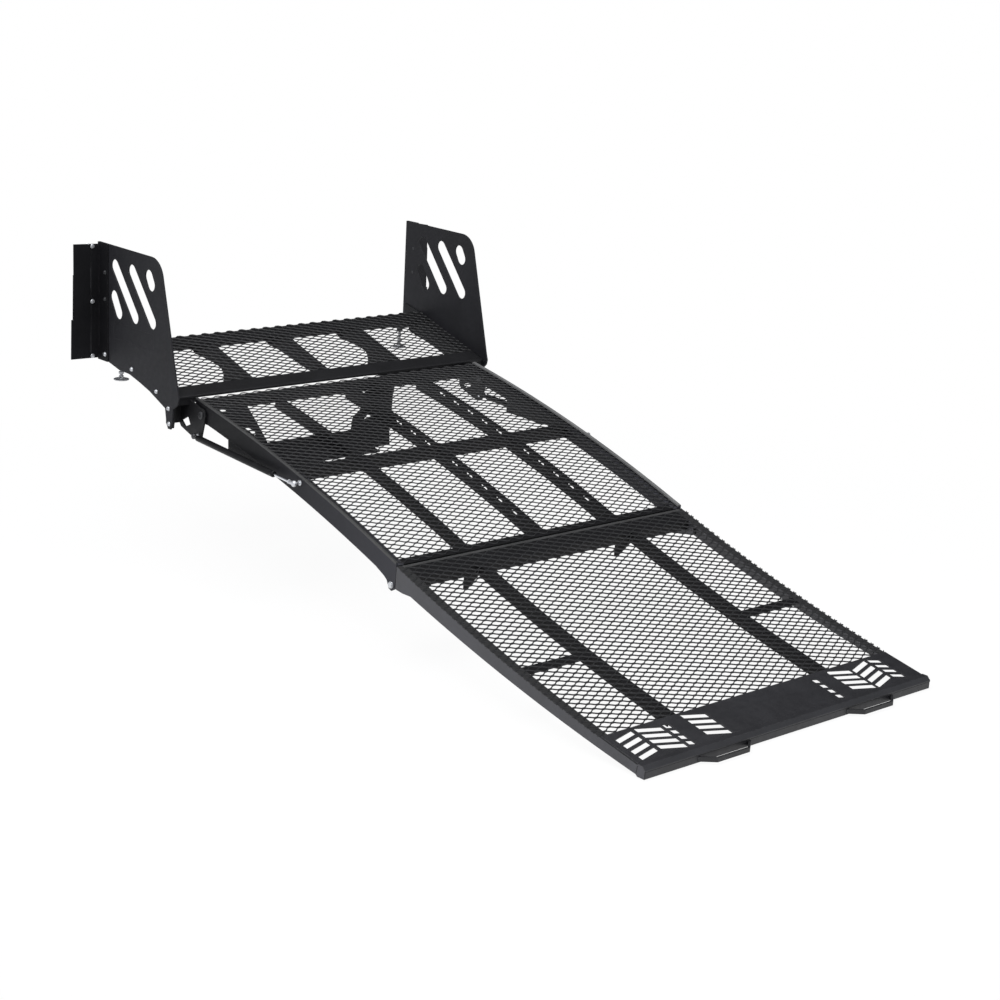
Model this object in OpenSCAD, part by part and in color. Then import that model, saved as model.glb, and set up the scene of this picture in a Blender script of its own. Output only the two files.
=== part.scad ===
// Pickup truck ramp rack: side wings, a short platform, and a two section folding ramp of expanded metal.
// Millimetres. Origin: centre of the post bolt pattern on the truck side face.
// X across, +Y to the truck, +Z up.

/* [Wings and posts] */
// Outer face to outer face of the side wings
wing_span = 1520; // [1500:1:1530]
// Thickness of the wing plates
wing_t = 6; // [5:1:7]
// Height of the wing top above the origin
wing_top_z = 230; // [224:1:236]
// Thickness of the post flange
post_t = 5; // [4:0.5:6]
// Width of the post flange beyond the wing
post_w = 114; // [104:1:124]
// Width of the slots in the wings
slot_w = 52; // [44:1:56]
// Distance of the post bolts outside the wing
post_bolt_out = 34; // [28:1:38]
// Height of the upper and lower post bolts
post_bolt_z = 214; // [206:1:218]
// Diameter of the mounting bolts
mount_bolt_d = 12; // [10:1:12]
// Length of the mounting bolts beyond the post
mount_bolt_l = 28; // [20:1:35]

/* [Platform] */
// Slope of the platform deck
plat_slope = 16.9; // [16:0.1:17.5]
// Thickness of the expanded metal
mesh_t = 4; // [3:0.5:5]
// Width of the front band under the deck
front_beam_w = 85; // [75:1:90]
// Depth of the front leg of the rear beam
rear_beam_h = 44; // [40:1:48]
// Thickness of formed plates
plate_t = 5; // [4:0.5:6]

/* [Upper ramp] */
// Space from the outer face of a wing in to the ramp rail beside it
ramp_side_gap = 74; // [72:1:80]
// Width of the top flange of a rail
rail_flange_w = 36; // [30:1:40]
// Thickness of the rail section
rail_t = 6; // [5:0.5:7]
// Height of the upper rail lips above the deck line
rail_lip = 6; // [3:0.5:8]
// Depth of the upper ramp rails
mid_rail_h = 67; // [62:1:70]
// Distance of the outer stringers from the middle
mid_str_x = 358; // [350:1:362]
// Width of a stringer flange
str_flange_w = 26; // [22:1:30]
// Depth of a stringer
mid_str_h = 52; // [46:1:56]

/* [Lower ramp] */
// Depth of the lower rails at the hinge end
low_rail_h0 = 60; // [56:1:64]
// Depth of the lower rails at the ground end
low_rail_h1 = 36; // [33:1:40]
// Distance of the stringers from the middle
low_str_x = 366; // [360:1:370]
// Width of a lower stringer
low_str_w = 32; // [28:1:34]
// Depth of a lower stringer
low_str_h = 38; // [32:1:40]
// Length of a handle loop at the tube
handle_l = 238; // [220:1:250]
// Length of a handle loop at its outer bar
handle_out_l = 150; // [130:1:170]
// Distance of the left handle from the middle
left_handle_x = 336; // [325:1:350]
// Distance of the right handle from the middle
right_handle_x = 368; // [350:1:380]
// Thickness of a handle bar
handle_t = 8; // [6:0.5:9]
// Height of a handle bar
handle_h = 15; // [13:1:20]

/* [Moving parts] */
// Diameter of the lift pins
lift_pin_d = 20; // [16:1:20]
// Diameter of the fold pins
fold_pin_d = 16; // [14:1:17]
// Radial clearance of a pin in its bore
pin_gap = 0.05; // [0.02:0.01:0.10]
// Outer diameter of the gas strut cylinder
strut_d = 24; // [20:1:25]
// Diameter of the gas strut rod
strut_rod_d = 10; // [8:1:10]
// Diameter of the levelling foot stem
foot_stem_d = 12; // [10:1:14]
// Diameter of the levelling foot pad
foot_pad_d = 60; // [54:1:64]

/* [Hidden] */
$fn = 48;

wing_x1 = wing_span / 2;
wing_x0 = wing_x1 - wing_t;
post_out_x = wing_x1 + post_w;
post_bolt_x = wing_x1 + post_bolt_out;
ramp_half_w = wing_x1 - ramp_side_gap;

// Platform deck: the line of its top face in the YZ plane
plat_y0 = -118;
plat_z0 = -145;
plat_half_w = wing_x0 - 1;

// Upper ramp: a convex arc of the rail tops
mid_p0 = [-570.6, -282.8];
mid_a0 = 9.675;
mid_a1 = 19.5;
mid_chord = 1266.95;
mid_r = mid_chord / (2 * sin((mid_a1 - mid_a0) / 2));
mid_c = mid_p0 + mid_r * [sin(mid_a0), -cos(mid_a0)];
mid_end = mid_c - mid_r * [sin(mid_a1), -cos(mid_a1)];

// Lower ramp: a concave arc of the rail tops
low_p0 = mid_end + [-6.2912, -1.1082];
low_a0 = 18.7;
low_a1 = 10.2;
low_chord = 1210.3;
low_r = low_chord / (2 * sin((low_a0 - low_a1) / 2));
low_c = low_p0 + low_r * [-sin(low_a0), cos(low_a0)];

// Pivots in the YZ plane
lift_p = [-623, -334];
fold_p = mid_end + [22.7088, -77.1082];
strut_a = [-605, -416];
strut_b = [-1244, -448];
strut_out = 28;
strut_x = ramp_half_w + strut_out;
strut_ang = atan2(strut_a[1] - strut_b[1], strut_a[0] - strut_b[0]);
strut_cyl_l = 520;
strut_rod_in = 330;
ball_r = 6.5;

n_deck = 6;
// Space between the flat panels that stand for one curved sheet
panel_gap = 0.16;
n_rail = 24;
web_in = ramp_half_w - rail_t;
flange_in = ramp_half_w - rail_flange_w;
upper_deck_hw = web_in - 0.5;
lower_deck_hw = ramp_half_w - 2.5;
deck_top_d = 0.5;
str_top_d = deck_top_d + mesh_t;
// The fixing bolts have a thicker neck inside the post, so the stud proper starts at the mounting face
neck_r = mount_bolt_d / 2 + 0.5;
neck_y = 0.4;

foot_inset = 60;
foot_x = wing_x0 - foot_inset;
foot_y = -57;
foot_top_z = -214;
foot_base_z = -310;

// Shared helpers

function mid_pt(a, d) = mid_c - (mid_r - d) * [sin(a), -cos(a)];
function mid_ang(s) = mid_a0 + s / mid_r * 180 / PI;
function mid_line(d, s0, s1, n) = [for (i = [0:n]) mid_pt(mid_ang(s0 + (s1 - s0) * i / n), d)];
mid_len = (mid_a1 - mid_a0) * PI / 180 * mid_r;

function low_pt(a, d) = low_c + (low_r + d) * [sin(a), -cos(a)];
function low_ang(s) = low_a0 - s / low_r * 180 / PI;
function low_line(d, s0, s1, n) = [for (i = [0:n]) low_pt(low_ang(s0 + (s1 - s0) * i / n), d)];
low_len = (low_a0 - low_a1) * PI / 180 * low_r;

function flip(v) = [for (i = [len(v) - 1:-1:0]) v[i]];

// Extrudes an outline of the YZ plane from x0 to x1
module yz(x0, x1) {
  translate([x0, 0, 0]) rotate([90, 0, 90]) linear_extrude(x1 - x0) children();
}

// A round bar along X, centred on a point of the YZ plane
module xbar(p, r, x0, x1) {
  translate([x0, p[0], p[1]]) rotate([0, 90, 0]) cylinder(r = r, h = x1 - x0);
}

// A hexagon prism along X
module xhex(p, af, x0, x1) {
  translate([x0, p[0], p[1]]) rotate([0, 90, 0]) cylinder(r = af / sqrt(3), h = x1 - x0, $fn = 6);
}

module right_too() {
  children();
  mirror([1, 0, 0]) children();
}

// Puts a child at arc length s and depth d of the upper ramp, its own Y axis along the slope
module on_mid(s, d) {
  p = mid_pt(mid_ang(s), d);
  translate([0, p[0], p[1]]) rotate([mid_ang(s), 0, 0]) children();
}

module on_low(s, d) {
  p = low_pt(low_ang(s), d);
  translate([0, p[0], p[1]]) rotate([low_ang(s), 0, 0]) children();
}

// The same on the flat panels of the two decks
module on_deck(s, d) {
  p = deck_at(d, s);
  translate([0, p[0], p[1]]) rotate([deck_ang(s), 0, 0]) children();
}

module on_low_deck(s, d) {
  p = low_at(d, s);
  translate([0, p[0], p[1]]) rotate([low_deck_ang(s), 0, 0]) children();
}

// Room for the rail flanges at both ends of a cross member, whose top is at Z 0
module rail_notch() {
  right_too() translate([flange_in - 0.2, -200, -rail_t - 0.3]) cube([80, 400, rail_t + 10]);
}

module on_plat(s, d) {
  translate([0, plat_y0, plat_z0]) rotate([plat_slope, 0, 0]) translate([0, -s, -d]) children();
}

// Flat sheet of coarse diamonds with a solid edge, x from -hw to hw, y from -l to 0
module mesh_2d(hw, l, cols, rows, edge_y) {
  px = 2 * hw / cols;
  py = l / rows;
  strand = 9;
  difference() {
    translate([-hw, -l]) square([2 * hw, l]);
    intersection() {
      translate([-hw + 6, -l + edge_y]) square([2 * hw - 12, l - 2 * edge_y]);
      for (j = [0:2 * rows]) {
        odd = j % 2;
        for (i = [0:cols - odd]) {
          translate([-hw + px * (i + odd / 2), -py * j / 2])
            polygon([[-px / 2 + strand, 0], [0, -py / 2 + strand * 0.62],
              [px / 2 - strand, 0], [0, py / 2 - strand * 0.62]]);
        }
      }
    }
  }
}

// Wings and posts

// Wing outline in the YZ plane, with its rear tongue
module wing_2d() {
  corner_r = 84;
  corner_c = [-372, 142];
  difference() {
    union() {
      polygon(concat([[0, -230], [0, wing_top_z], [corner_c[0], wing_top_z - 4]],
        [for (a = [88:-8:16]) corner_c + corner_r * [-cos(a), sin(a)]],
        [[-564, -256], [-571, -276], [-566, -296], [-552, -310], [-532, -322], [-527, -376], [-517, -404],
          [-498, -404], [-486, -374], [-478, -330], [-438, -314], [-367, -286], [-296, -266], [-224, -249],
          [-151, -247], [-62, -228]]));
    }
    slot_yz([-101, 172], [-278, -42]);
    slot_yz([-224, 171], [-401, -41]);
    slot_yz([-346, 172], [-388, 99]);
    slot_yz([-98, 54], [-158, -46]);
  }
}

// A slot with round ends from tip to tip
module slot_yz(a, b) {
  v = b - a;
  ang = atan2(v[1], v[0]);
  r = slot_w / 2;
  in = r * v / norm(v);
  polygon(concat([for (t = [90:15:270]) a + in + r * [cos(ang + t), sin(ang + t)]],
    [for (t = [-90:15:90]) b - in + r * [cos(ang + t), sin(ang + t)]]));
}

wing_bolt_pts = [[-54, -202], [-54, 14], [-54, 118], [-242, -226], [-417, -278]];
bracket_bolt_pts = [[-502, -326], [-507, -384]];

module wing() {
  difference() {
    yz(wing_x0, wing_x1) wing_2d();
    for (p = concat(wing_bolt_pts, bracket_bolt_pts)) xbar(p, 4.5, wing_x0 - 1, wing_x1 + 1);
    // The sheet carries a shallow bare panel where lettering would be
    yz(wing_x1 - 0.6, wing_x1 + 1) translate([-395, -128]) square([285, 62]);
  }
}

// Post: a leg lapped on the wing, a doubler with the bolts and the outer flange with its small steps
module post() {
  difference() {
    union() {
      translate([wing_x1, -72, -230]) cube([post_t, 72, 2 * 230]);
      rotate([90, 0, 0]) linear_extrude(post_t)
        polygon([[wing_x1, -224], [wing_x1, 226], [post_out_x - 2, 222], [post_out_x - 2, 107],
          [post_out_x, 106], [post_out_x + 2, -67], [post_out_x + 8, -68], [post_out_x + 10, -222]]);
      translate([wing_x1 + post_t, -post_t - 4, -222]) cube([34, 4, 2 * 222]);
    }
    for (z = [-post_bolt_z, 0, post_bolt_z]) {
      translate([post_bolt_x, 1, z]) rotate([90, 0, 0]) cylinder(r = neck_r + pin_gap, h = 12);
    }
    for (p = [wing_bolt_pts[0], wing_bolt_pts[1], wing_bolt_pts[2]]) {
      xbar(p, 4.5, wing_x1 - 1, wing_x1 + post_t + 1);
    }
  }
}

module left_post() {
  color("#1d1e20") mirror([1, 0, 0]) post();
}

module right_post() {
  color("#1d1e20") post();
}

module left_wing() {
  color("#1b1c1e") mirror([1, 0, 0]) wing();
}

module right_wing() {
  color("#1b1c1e") wing();
}

module post_bolts() {
  head_y = -post_t - 4;
  color("#c9ccd0") right_too() for (z = [-post_bolt_z, 0, post_bolt_z]) {
    translate([post_bolt_x, mount_bolt_l, z]) rotate([90, 0, 0])
      cylinder(d = mount_bolt_d, h = mount_bolt_l - neck_y);
    translate([post_bolt_x, neck_y, z]) rotate([90, 0, 0]) cylinder(r = neck_r, h = neck_y - head_y);
    translate([post_bolt_x, head_y, z]) rotate([90, 0, 0]) cylinder(d = 21, h = 2);
    translate([post_bolt_x, head_y - 2, z]) rotate([90, 0, 0]) cylinder(d = 19, h = 6, $fn = 6);
  }
}

// Bolts of wings, posts and side rails, with nuts on the inner side
module wing_bolts() {
  color("#c9ccd0") right_too() {
    for (i = [0:len(wing_bolt_pts) - 1]) {
      face = i < 3 ? wing_x1 + post_t : wing_x1;
      back = i == 1 || i == 2 ? wing_x0 : wing_x0 - plate_t;
      p = wing_bolt_pts[i];
      xbar(p, 4.5, back - 8, face);
      xbar(p, 9, face, face + 1.5);
      xbar(p, 7.5, face + 1.5, face + 6);
      xhex(p, 14, back - 7, back);
    }
    for (p = bracket_bolt_pts) {
      xbar(p, 4.5, wing_x0 - 16, wing_x1);
      xbar(p, 9, wing_x1, wing_x1 + 1.5);
      xbar(p, 7.5, wing_x1 + 1.5, wing_x1 + 6);
      xhex(p, 14, wing_x0 - 15, wing_x0 - 8);
    }
  }
}

// Platform

// Folded channel under the truck side of the deck
module platform_front_beam() {
  color("#222326") on_plat(0, mesh_t) translate([-plat_half_w + plate_t, 0, 0]) {
    translate([0, -front_beam_w, -plate_t]) cube([2 * plat_half_w - 2 * plate_t, front_beam_w, plate_t]);
    translate([0, -plate_t, -60]) cube([2 * plat_half_w - 2 * plate_t, plate_t, 60]);
    translate([0, -front_beam_w, -48]) cube([2 * plat_half_w - 2 * plate_t, plate_t, 48]);
  }
}

rear_y0 = 374;
rear_y1 = 452;

// Folded section along the rear edge: a wide top flush with the deck, a deep front leg and a short rear lip
module platform_rear_beam() {
  r = 6;
  lip = 10;
  w = rear_y1 - rear_y0;
  color("#26272a") on_plat(0, -1) rotate([90, 0, 90])
    translate([0, 0, -plat_half_w + plate_t]) linear_extrude(2 * plat_half_w - 2 * plate_t) difference() {
      tube_2d(-rear_y1, -rear_beam_h, w, rear_beam_h, r);
      translate([-rear_y1 - 1, -rear_beam_h - 1]) square([w - plate_t + 1, rear_beam_h - lip + 1]);
      translate([-rear_y1 + plate_t, -lip - 1]) square([w - 2 * plate_t, lip + 1 - plate_t]);
    }
}

// Rectangle with round corners, lower left corner at x, y
module tube_2d(x, y, w, h, r) {
  translate([x + r, y]) square([w - 2 * r, h]);
  translate([x, y + r]) square([w, h - 2 * r]);
  for (u = [x + r, x + w - r]) for (v = [y + r, y + h - r]) translate([u, v]) circle(r);
}

// Plate along the inner face of the wing with an inward top flange under the deck
module side_rail() {
  difference() {
    union() {
      yz(wing_x0 - plate_t, wing_x0) polygon([[-20, -128], [-20, -222], [-66, -222], [-151, -240],
        [-224, -243], [-296, -260], [-367, -280], [-438, -307], [-470, -316], [-545, -306], [-556, -284],
        [-550, -281], [plat_y0, plat_z0 - mesh_t - 0.3]]);
      on_plat(front_beam_w + 1, mesh_t) translate([wing_x0 - 40, -rear_y0 + front_beam_w + 2, -plate_t])
        cube([40, rear_y0 - front_beam_w - 3, plate_t]);
    }
    for (p = [wing_bolt_pts[0], wing_bolt_pts[3], wing_bolt_pts[4]]) {
      xbar(p, 4.5, wing_x0 - plate_t - 1, wing_x0 + 1);
    }
  }
}

module left_side_rail() {
  color("#1f2022") mirror([1, 0, 0]) side_rail();
}

module right_side_rail() {
  color("#1f2022") side_rail();
}

// Angle with an arched lower edge between the front and rear beams
module plat_stringer(x, h0, hm, h1) {
  s0 = front_beam_w;
  s1 = rear_y0;
  n = 12;
  on_plat(0, mesh_t) {
    translate([x - str_flange_w / 2, -s1, -plate_t]) cube([str_flange_w, s1 - s0, plate_t]);
    yz(x - str_flange_w / 2, x - str_flange_w / 2 + plate_t)
      polygon(concat([[-s0, 0], [-s1, 0]],
        [for (i = [n:-1:0]) let(u = i / n)
          [-s0 - (s1 - s0) * u, -(h0 * (1 - u) + h1 * u - (((h0 + h1) / 2 - hm) * 4 * u * (1 - u)))]]));
  }
}

module platform_stringer_left() {
  color("#222326") plat_stringer(-mid_str_x, 82, 52, 92);
}

module platform_stringer_centre() {
  color("#222326") plat_stringer(0, 80, 52, 54);
}

module platform_stringer_right() {
  color("#222326") plat_stringer(mid_str_x, 82, 52, 92);
}

module platform_deck() {
  color("#2a2b2e") on_plat(0, mesh_t) linear_extrude(mesh_t)
    mesh_2d(plat_half_w, rear_y0 - 0.5, 9, 5, 5);
}

// Hinge of the ramp and levelling feet

bracket_x0 = ramp_half_w + 2;
bracket_x1 = bracket_x0 + 7;

// Formed bracket: a plate beside the rail, a web across the gap and a pad bolted inside the wing tongue
module hinge_bracket() {
  bore = lift_pin_d / 2;
  difference() {
    union() {
      yz(bracket_x0, bracket_x1) difference() {
        union() {
          polygon([[-487, -261.8], [-541, -278.2], [-541, -288], [-556, -293], [-600, -304], [-636, -314],
            [-650, -334], [-643, -362], [-622, -432], [-592, -436], [-488, -404], [-476, -390],
            [-476, -320], [-486, -300]]);
          translate(lift_p) circle(26);
        }
        polygon([[-492, -380], [-536, -356], [-552, -384], [-516, -400]]);
      }
      yz(bracket_x1, wing_x0 - 8) polygon([[-476, -300], [-476, -388], [-484, -390], [-484, -300]]);
      yz(wing_x0 - 8, wing_x0) polygon([[-476, -318], [-476, -388], [-490, -402], [-521, -399],
        [-530, -322], [-524, -314]]);
    }
    xbar(lift_p, bore, bracket_x0 - 1, bracket_x1 + 1);
    xbar(strut_a, 5, bracket_x0 - 1, bracket_x1 + 1);
    for (p = bracket_bolt_pts) xbar(p, 4.5, wing_x0 - 9, wing_x0 + 1);
  }
}

module left_hinge_bracket() {
  color("#1f2022") mirror([1, 0, 0]) hinge_bracket();
}

module right_hinge_bracket() {
  color("#1f2022") hinge_bracket();
}

// Pins from the brackets into the rails of the upper ramp
module lift_pins() {
  color("#b9bcc0") right_too() {
    xbar(lift_p, lift_pin_d / 2, web_in - 12, bracket_x1 + 3);
    xbar(lift_p, lift_pin_d / 2 + 5, bracket_x1, bracket_x1 + 5);
  }
}

// Ball studs that carry the struts on the brackets
module strut_anchor_studs() {
  color("#b9bcc0") right_too() {
    xbar(strut_a, 5, bracket_x0, strut_x - 4.4);
    translate([strut_x, strut_a[0], strut_a[1]]) sphere(ball_r);
    xhex(strut_a, 13, bracket_x1, bracket_x1 + 3);
  }
}

// Plate welded to the side rail, with a boss for the foot
module foot_brackets() {
  color("#1f2022") right_too() difference() {
    union() {
      translate([foot_x - 26, foot_y - 26, foot_top_z - 8]) cube([wing_x0 - plate_t - foot_x + 26, 52, 6]);
      translate([foot_x, foot_y, foot_top_z - 26]) cylinder(d = 26, h = 20);
    }
    translate([foot_x, foot_y, foot_top_z - 40]) cylinder(r = foot_stem_d / 2 + pin_gap, h = 60);
  }
}

// Levelling foot: stem, lock nut and pad
module foot() {
  stem_l = foot_top_z + 18 - foot_base_z;
  translate([foot_x, foot_y, foot_base_z + 8]) cylinder(d = foot_stem_d, h = stem_l);
  translate([foot_x, foot_y, foot_base_z]) cylinder(d = foot_pad_d, h = 5);
  translate([foot_x, foot_y, foot_base_z + 5]) cylinder(d1 = foot_pad_d - 12, d2 = 24, h = 8);
  translate([foot_x, foot_y, foot_base_z + 24]) cylinder(d = 22, h = 9, $fn = 6);
}

module left_foot() {
  color("#9a9da1") mirror([1, 0, 0]) foot();
}

module right_foot() {
  color("#9a9da1") foot();
}

// Upper ramp

// Arched rail: a deep web outside with a lip above the deck, and a flange turned in under the deck
module upper_rail() {
  heel = [for (v = [[-22, 19], [-16, -13], [-2, -21], [12, -15], [24, 11], [39, 22]]) fold_p + v];
  toe = [for (v = [[-17, -32], [11, -32], [33, -18], [49, 8]]) lift_p + v];
  difference() {
    union() {
      yz(web_in, ramp_half_w) polygon(concat(mid_line(-rail_lip, 0, mid_len, n_rail), heel,
        flip(mid_line(mid_rail_h, 102, mid_len - 92, n_rail)), toe));
      yz(flange_in, ramp_half_w) polygon(concat(deck_line(str_top_d, 0, mid_len),
        flip(deck_line(str_top_d + rail_t, 0, mid_len))));
    }
    xbar(lift_p, lift_pin_d / 2 + pin_gap, web_in - 1, ramp_half_w + 1);
    xbar(strut_b, 5, web_in - 1, ramp_half_w + 1);
    xbar(fold_p, fold_pin_d / 2 + pin_gap, web_in - 1, ramp_half_w + 1);
  }
}

module upper_rail_left() {
  color("#2b2c2f") mirror([1, 0, 0]) upper_rail();
}

module upper_rail_right() {
  color("#2b2c2f") upper_rail();
}

// Bosses that stiffen the rail webs round the lift pins
module upper_hinge_ears() {
  color("#222326") right_too() difference() {
    yz(web_in - 8, web_in) union() {
      translate(lift_p) circle(22);
      polygon([lift_p + [-22, 0], lift_p + [22, 0], mid_pt(mid_ang(48), 12), mid_pt(mid_ang(102), 12)]);
    }
    xbar(lift_p, lift_pin_d / 2 + pin_gap, web_in - 9, web_in + 1);
  }
}

// Channel at the platform end of the upper ramp
module upper_head_beam() {
  l = 2 * (web_in - 8);
  color("#222326") on_deck(1, str_top_d) difference() {
    translate([-l / 2, 0, 0]) {
      translate([0, -46, -plate_t]) cube([l, 46, plate_t]);
      translate([0, -plate_t, -26]) cube([l, plate_t, 26]);
      translate([0, -46, -32]) cube([l, plate_t, 32]);
    }
    rail_notch();
  }
}

// Angle across the middle of the upper ramp
module upper_cross_beam() {
  l = 2 * web_in;
  color("#222326") on_deck(604, str_top_d) difference() {
    translate([-l / 2, 0, 0]) {
      translate([0, -24, -plate_t]) cube([l, 24, plate_t]);
      translate([0, -plate_t, -62]) cube([l, plate_t, 62]);
    }
    rail_notch();
  }
}

// Channel at the fold, notched for the stop lugs of the lower ramp
module upper_end_beam() {
  l = 2 * (web_in - 12.2);
  notch = 24;
  color("#222326") on_deck(mid_len - 1, str_top_d) difference() {
    translate([-l / 2, 0, 0]) {
      translate([0, 0, -plate_t]) cube([l, 30, plate_t]);
      translate([0, 25, -48]) cube([l, plate_t, 48]);
      translate([0, 0, -44]) cube([l, plate_t, 44]);
    }
    for (x = [-low_str_x, low_str_x]) translate([x - notch / 2, -1, -60]) cube([notch, 40, 55]);
    rail_notch();
  }
}

// Angle stringer with slots along the top of its web, which starts at x0
module upper_stringer(x, x0) {
  for (part = [[47.3, 603.5], [628.5, mid_len - 31.5]]) {
    s0 = part[0];
    s1 = part[1];
    difference() {
      union() {
        yz(x - str_flange_w / 2, x + str_flange_w / 2)
          polygon(concat(deck_line(str_top_d, s0, s1), flip(deck_line(str_top_d + plate_t, s0, s1))));
        yz(x0, x0 + plate_t)
          polygon(concat(deck_line(str_top_d, s0, s1), flip(deck_line(str_top_d + mid_str_h, s0, s1))));
      }
      for (k = [0:4]) {
        on_mid((s0 < 100 ? 210 : 739) + 90 * k, 15) translate([x0 - 1, 0, 0]) rotate([90, 0, 90])
          linear_extrude(plate_t + 2) {
            square([28, 9], center = true);
            translate([-14, 0]) circle(4.5);
            translate([14, 0]) circle(4.5);
          }
      }
    }
  }
}

// The chords of the deck panels, offset by d and cut at s0 and s1
function deck_line(d, s0, s1) = let(p = mid_len / n_deck) concat([deck_at(d, s0)],
  [for (i = [1:n_deck - 1]) if (i * p > s0 && i * p < s1) mid_pt(mid_ang(i * p), d)], [deck_at(d, s1)]);
function deck_at(d, s) = let(p = mid_len / n_deck, i = min(n_deck - 1, floor(s / p)), u = s / p - i)
  mid_pt(mid_ang(i * p), d) * (1 - u) + mid_pt(mid_ang((i + 1) * p), d) * u;
function deck_ang(s) = let(p = mid_len / n_deck) mid_ang((min(n_deck - 1, floor(s / p)) + 0.5) * p);

module upper_stringer_left() {
  color("#222326") upper_stringer(-mid_str_x, -mid_str_x + str_flange_w / 2 - plate_t);
}

module upper_stringer_centre() {
  color("#222326") upper_stringer(0, -str_flange_w / 2);
}

module upper_stringer_right() {
  color("#222326") upper_stringer(mid_str_x, mid_str_x - str_flange_w / 2);
}

// Expanded metal in flat panels that follow the arch
module upper_deck() {
  p = mid_len / n_deck;
  color("#2e2f32") for (i = [0:n_deck - 1]) {
    a = mid_ang(i * p);
    b = mid_ang((i + 1) * p);
    q = mid_pt(a, str_top_d);
    l = norm(mid_pt(b, str_top_d) - q) - panel_gap;
    translate([0, q[0], q[1]]) rotate([(a + b) / 2, 0, 0]) translate([0, -panel_gap / 2, 0])
      linear_extrude(mesh_t) mesh_2d(upper_deck_hw, l, 8, 2, 4);
  }
}

// Bent plate under the frame near the left rail, seen through the mesh as a dark band
module upper_plate_carrier() {
  d = str_top_d + mid_str_h;
  color("#232427") yz(-web_in, -182)
    polygon(concat(deck_line(d, 318, 508), flip(deck_line(d + 3, 318, 508))));
}

function mid_y(s) = mid_pt(mid_ang(s), 60)[0];

// Flat stay that runs from the carrier up to the head beam, with a turned up tab
module upper_carrier_stay() {
  d = str_top_d + mid_str_h + 3;
  outline = [[-222, 324], [-180, 314], [-100, 217], [0, 142], [118, 8], [262, 8], [110, 195], [6, 317],
    [-100, 460], [-222, 460]];
  color("#232427") {
    intersection() {
      yz(-230, 270) polygon(concat(deck_line(d, 2, 472), flip(deck_line(d + 4, 2, 472))));
      translate([0, 0, -500]) linear_extrude(300) difference() {
        polygon([for (p = outline) [p[0], mid_y(p[1])]]);
        polygon([[-68, mid_y(244)], [-12, mid_y(200)], [-12, mid_y(224)]]);
      }
    }
    on_deck(41, str_top_d) translate([104, -5, -d + str_top_d - 2]) cube([130, 4, d - str_top_d - 30.2]);
  }
}

// Studs that carry the strut rods on the rails, peened over inside the web
module strut_rail_studs() {
  color("#b9bcc0") right_too() {
    xbar(strut_b, 5, web_in - 6, ramp_half_w + 6);
    xbar(strut_b, 10, ramp_half_w, ramp_half_w + 3);
    xbar(strut_b, 5.8, web_in - 6, web_in);
  }
}

// Knuckle blocks of the fold hinge on the upper ramp, inboard of the rails
module fold_knuckles() {
  color("#222326") right_too() difference() {
    yz(web_in - 12, web_in) union() {
      translate(fold_p) circle(16);
      polygon([fold_p + [-14, 8], fold_p + [14, 8], mid_pt(mid_ang(mid_len - 60), 12),
        mid_pt(mid_ang(mid_len - 34), 12)]);
    }
    xbar(fold_p, fold_pin_d / 2 + pin_gap, web_in - 13, web_in + 1);
  }
}

// Lower ramp

function low_deck_line(d, s0, s1) = let(p = low_len / n_deck) concat([low_at(d, s0)],
  [for (i = [1:n_deck - 1]) if (i * p > s0 && i * p < s1) low_pt(low_ang(i * p), d)], [low_at(d, s1)]);
function low_at(d, s) = let(p = low_len / n_deck, i = min(n_deck - 1, floor(s / p)), u = s / p - i)
  low_pt(low_ang(i * p), d) * (1 - u) + low_pt(low_ang((i + 1) * p), d) * u;
function low_deck_ang(s) = let(p = low_len / n_deck) low_ang((min(n_deck - 1, floor(s / p)) + 0.5) * p);

// Tapered angle rail with a deep hinge end
module lower_rail() {
  n = n_rail;
  x1 = web_in - 13;
  difference() {
    union() {
      yz(web_in, ramp_half_w) polygon(concat(low_deck_line(str_top_d, 0, low_len),
        [for (i = [n:-1:0]) let(s = 100 + (low_len - 100) * i / n)
          low_pt(low_ang(s), low_rail_h0 + (low_rail_h1 - low_rail_h0) * (s - 100) / (low_len - 100))],
        [low_pt(low_ang(60), 74), low_pt(low_ang(22), 82)]));
      yz(flange_in, ramp_half_w) polygon(concat(low_deck_line(str_top_d, 0, low_len),
        flip(low_deck_line(str_top_d + rail_t, 0, low_len))));
      // Hinge leaf inboard of the knuckle
      yz(x1 - 10, x1) union() {
        translate(fold_p) circle(15);
        polygon([fold_p + [4, -15], fold_p + [4, 15], low_pt(low_ang(30), 30), low_pt(low_ang(90), 8),
          low_pt(low_ang(120), 40), low_pt(low_ang(60), 74)]);
      }
      yz(x1 - 10, ramp_half_w) polygon([low_pt(low_ang(90), 8), low_pt(low_ang(90), 46),
        low_pt(low_ang(98), 46), low_pt(low_ang(98), 8)]);
    }
    xbar(fold_p, fold_pin_d / 2 + pin_gap, x1 - 11, x1 + 1);
  }
}

module lower_rail_left() {
  color("#55575a") mirror([1, 0, 0]) lower_rail();
}

module lower_rail_right() {
  color("#55575a") lower_rail();
}

// Channel at the fold end of the lower ramp
module lower_head_beam() {
  l = 2 * web_in;
  color("#222326") on_low_deck(2, str_top_d) difference() {
    translate([-l / 2, 0, 0]) {
      translate([0, -78, -plate_t]) cube([l, 78, plate_t]);
      translate([0, -plate_t, -40]) cube([l, plate_t, 40]);
      translate([24, -78, -40]) cube([l - 48, plate_t, 40]);
    }
    rail_notch();
  }
}

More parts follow.
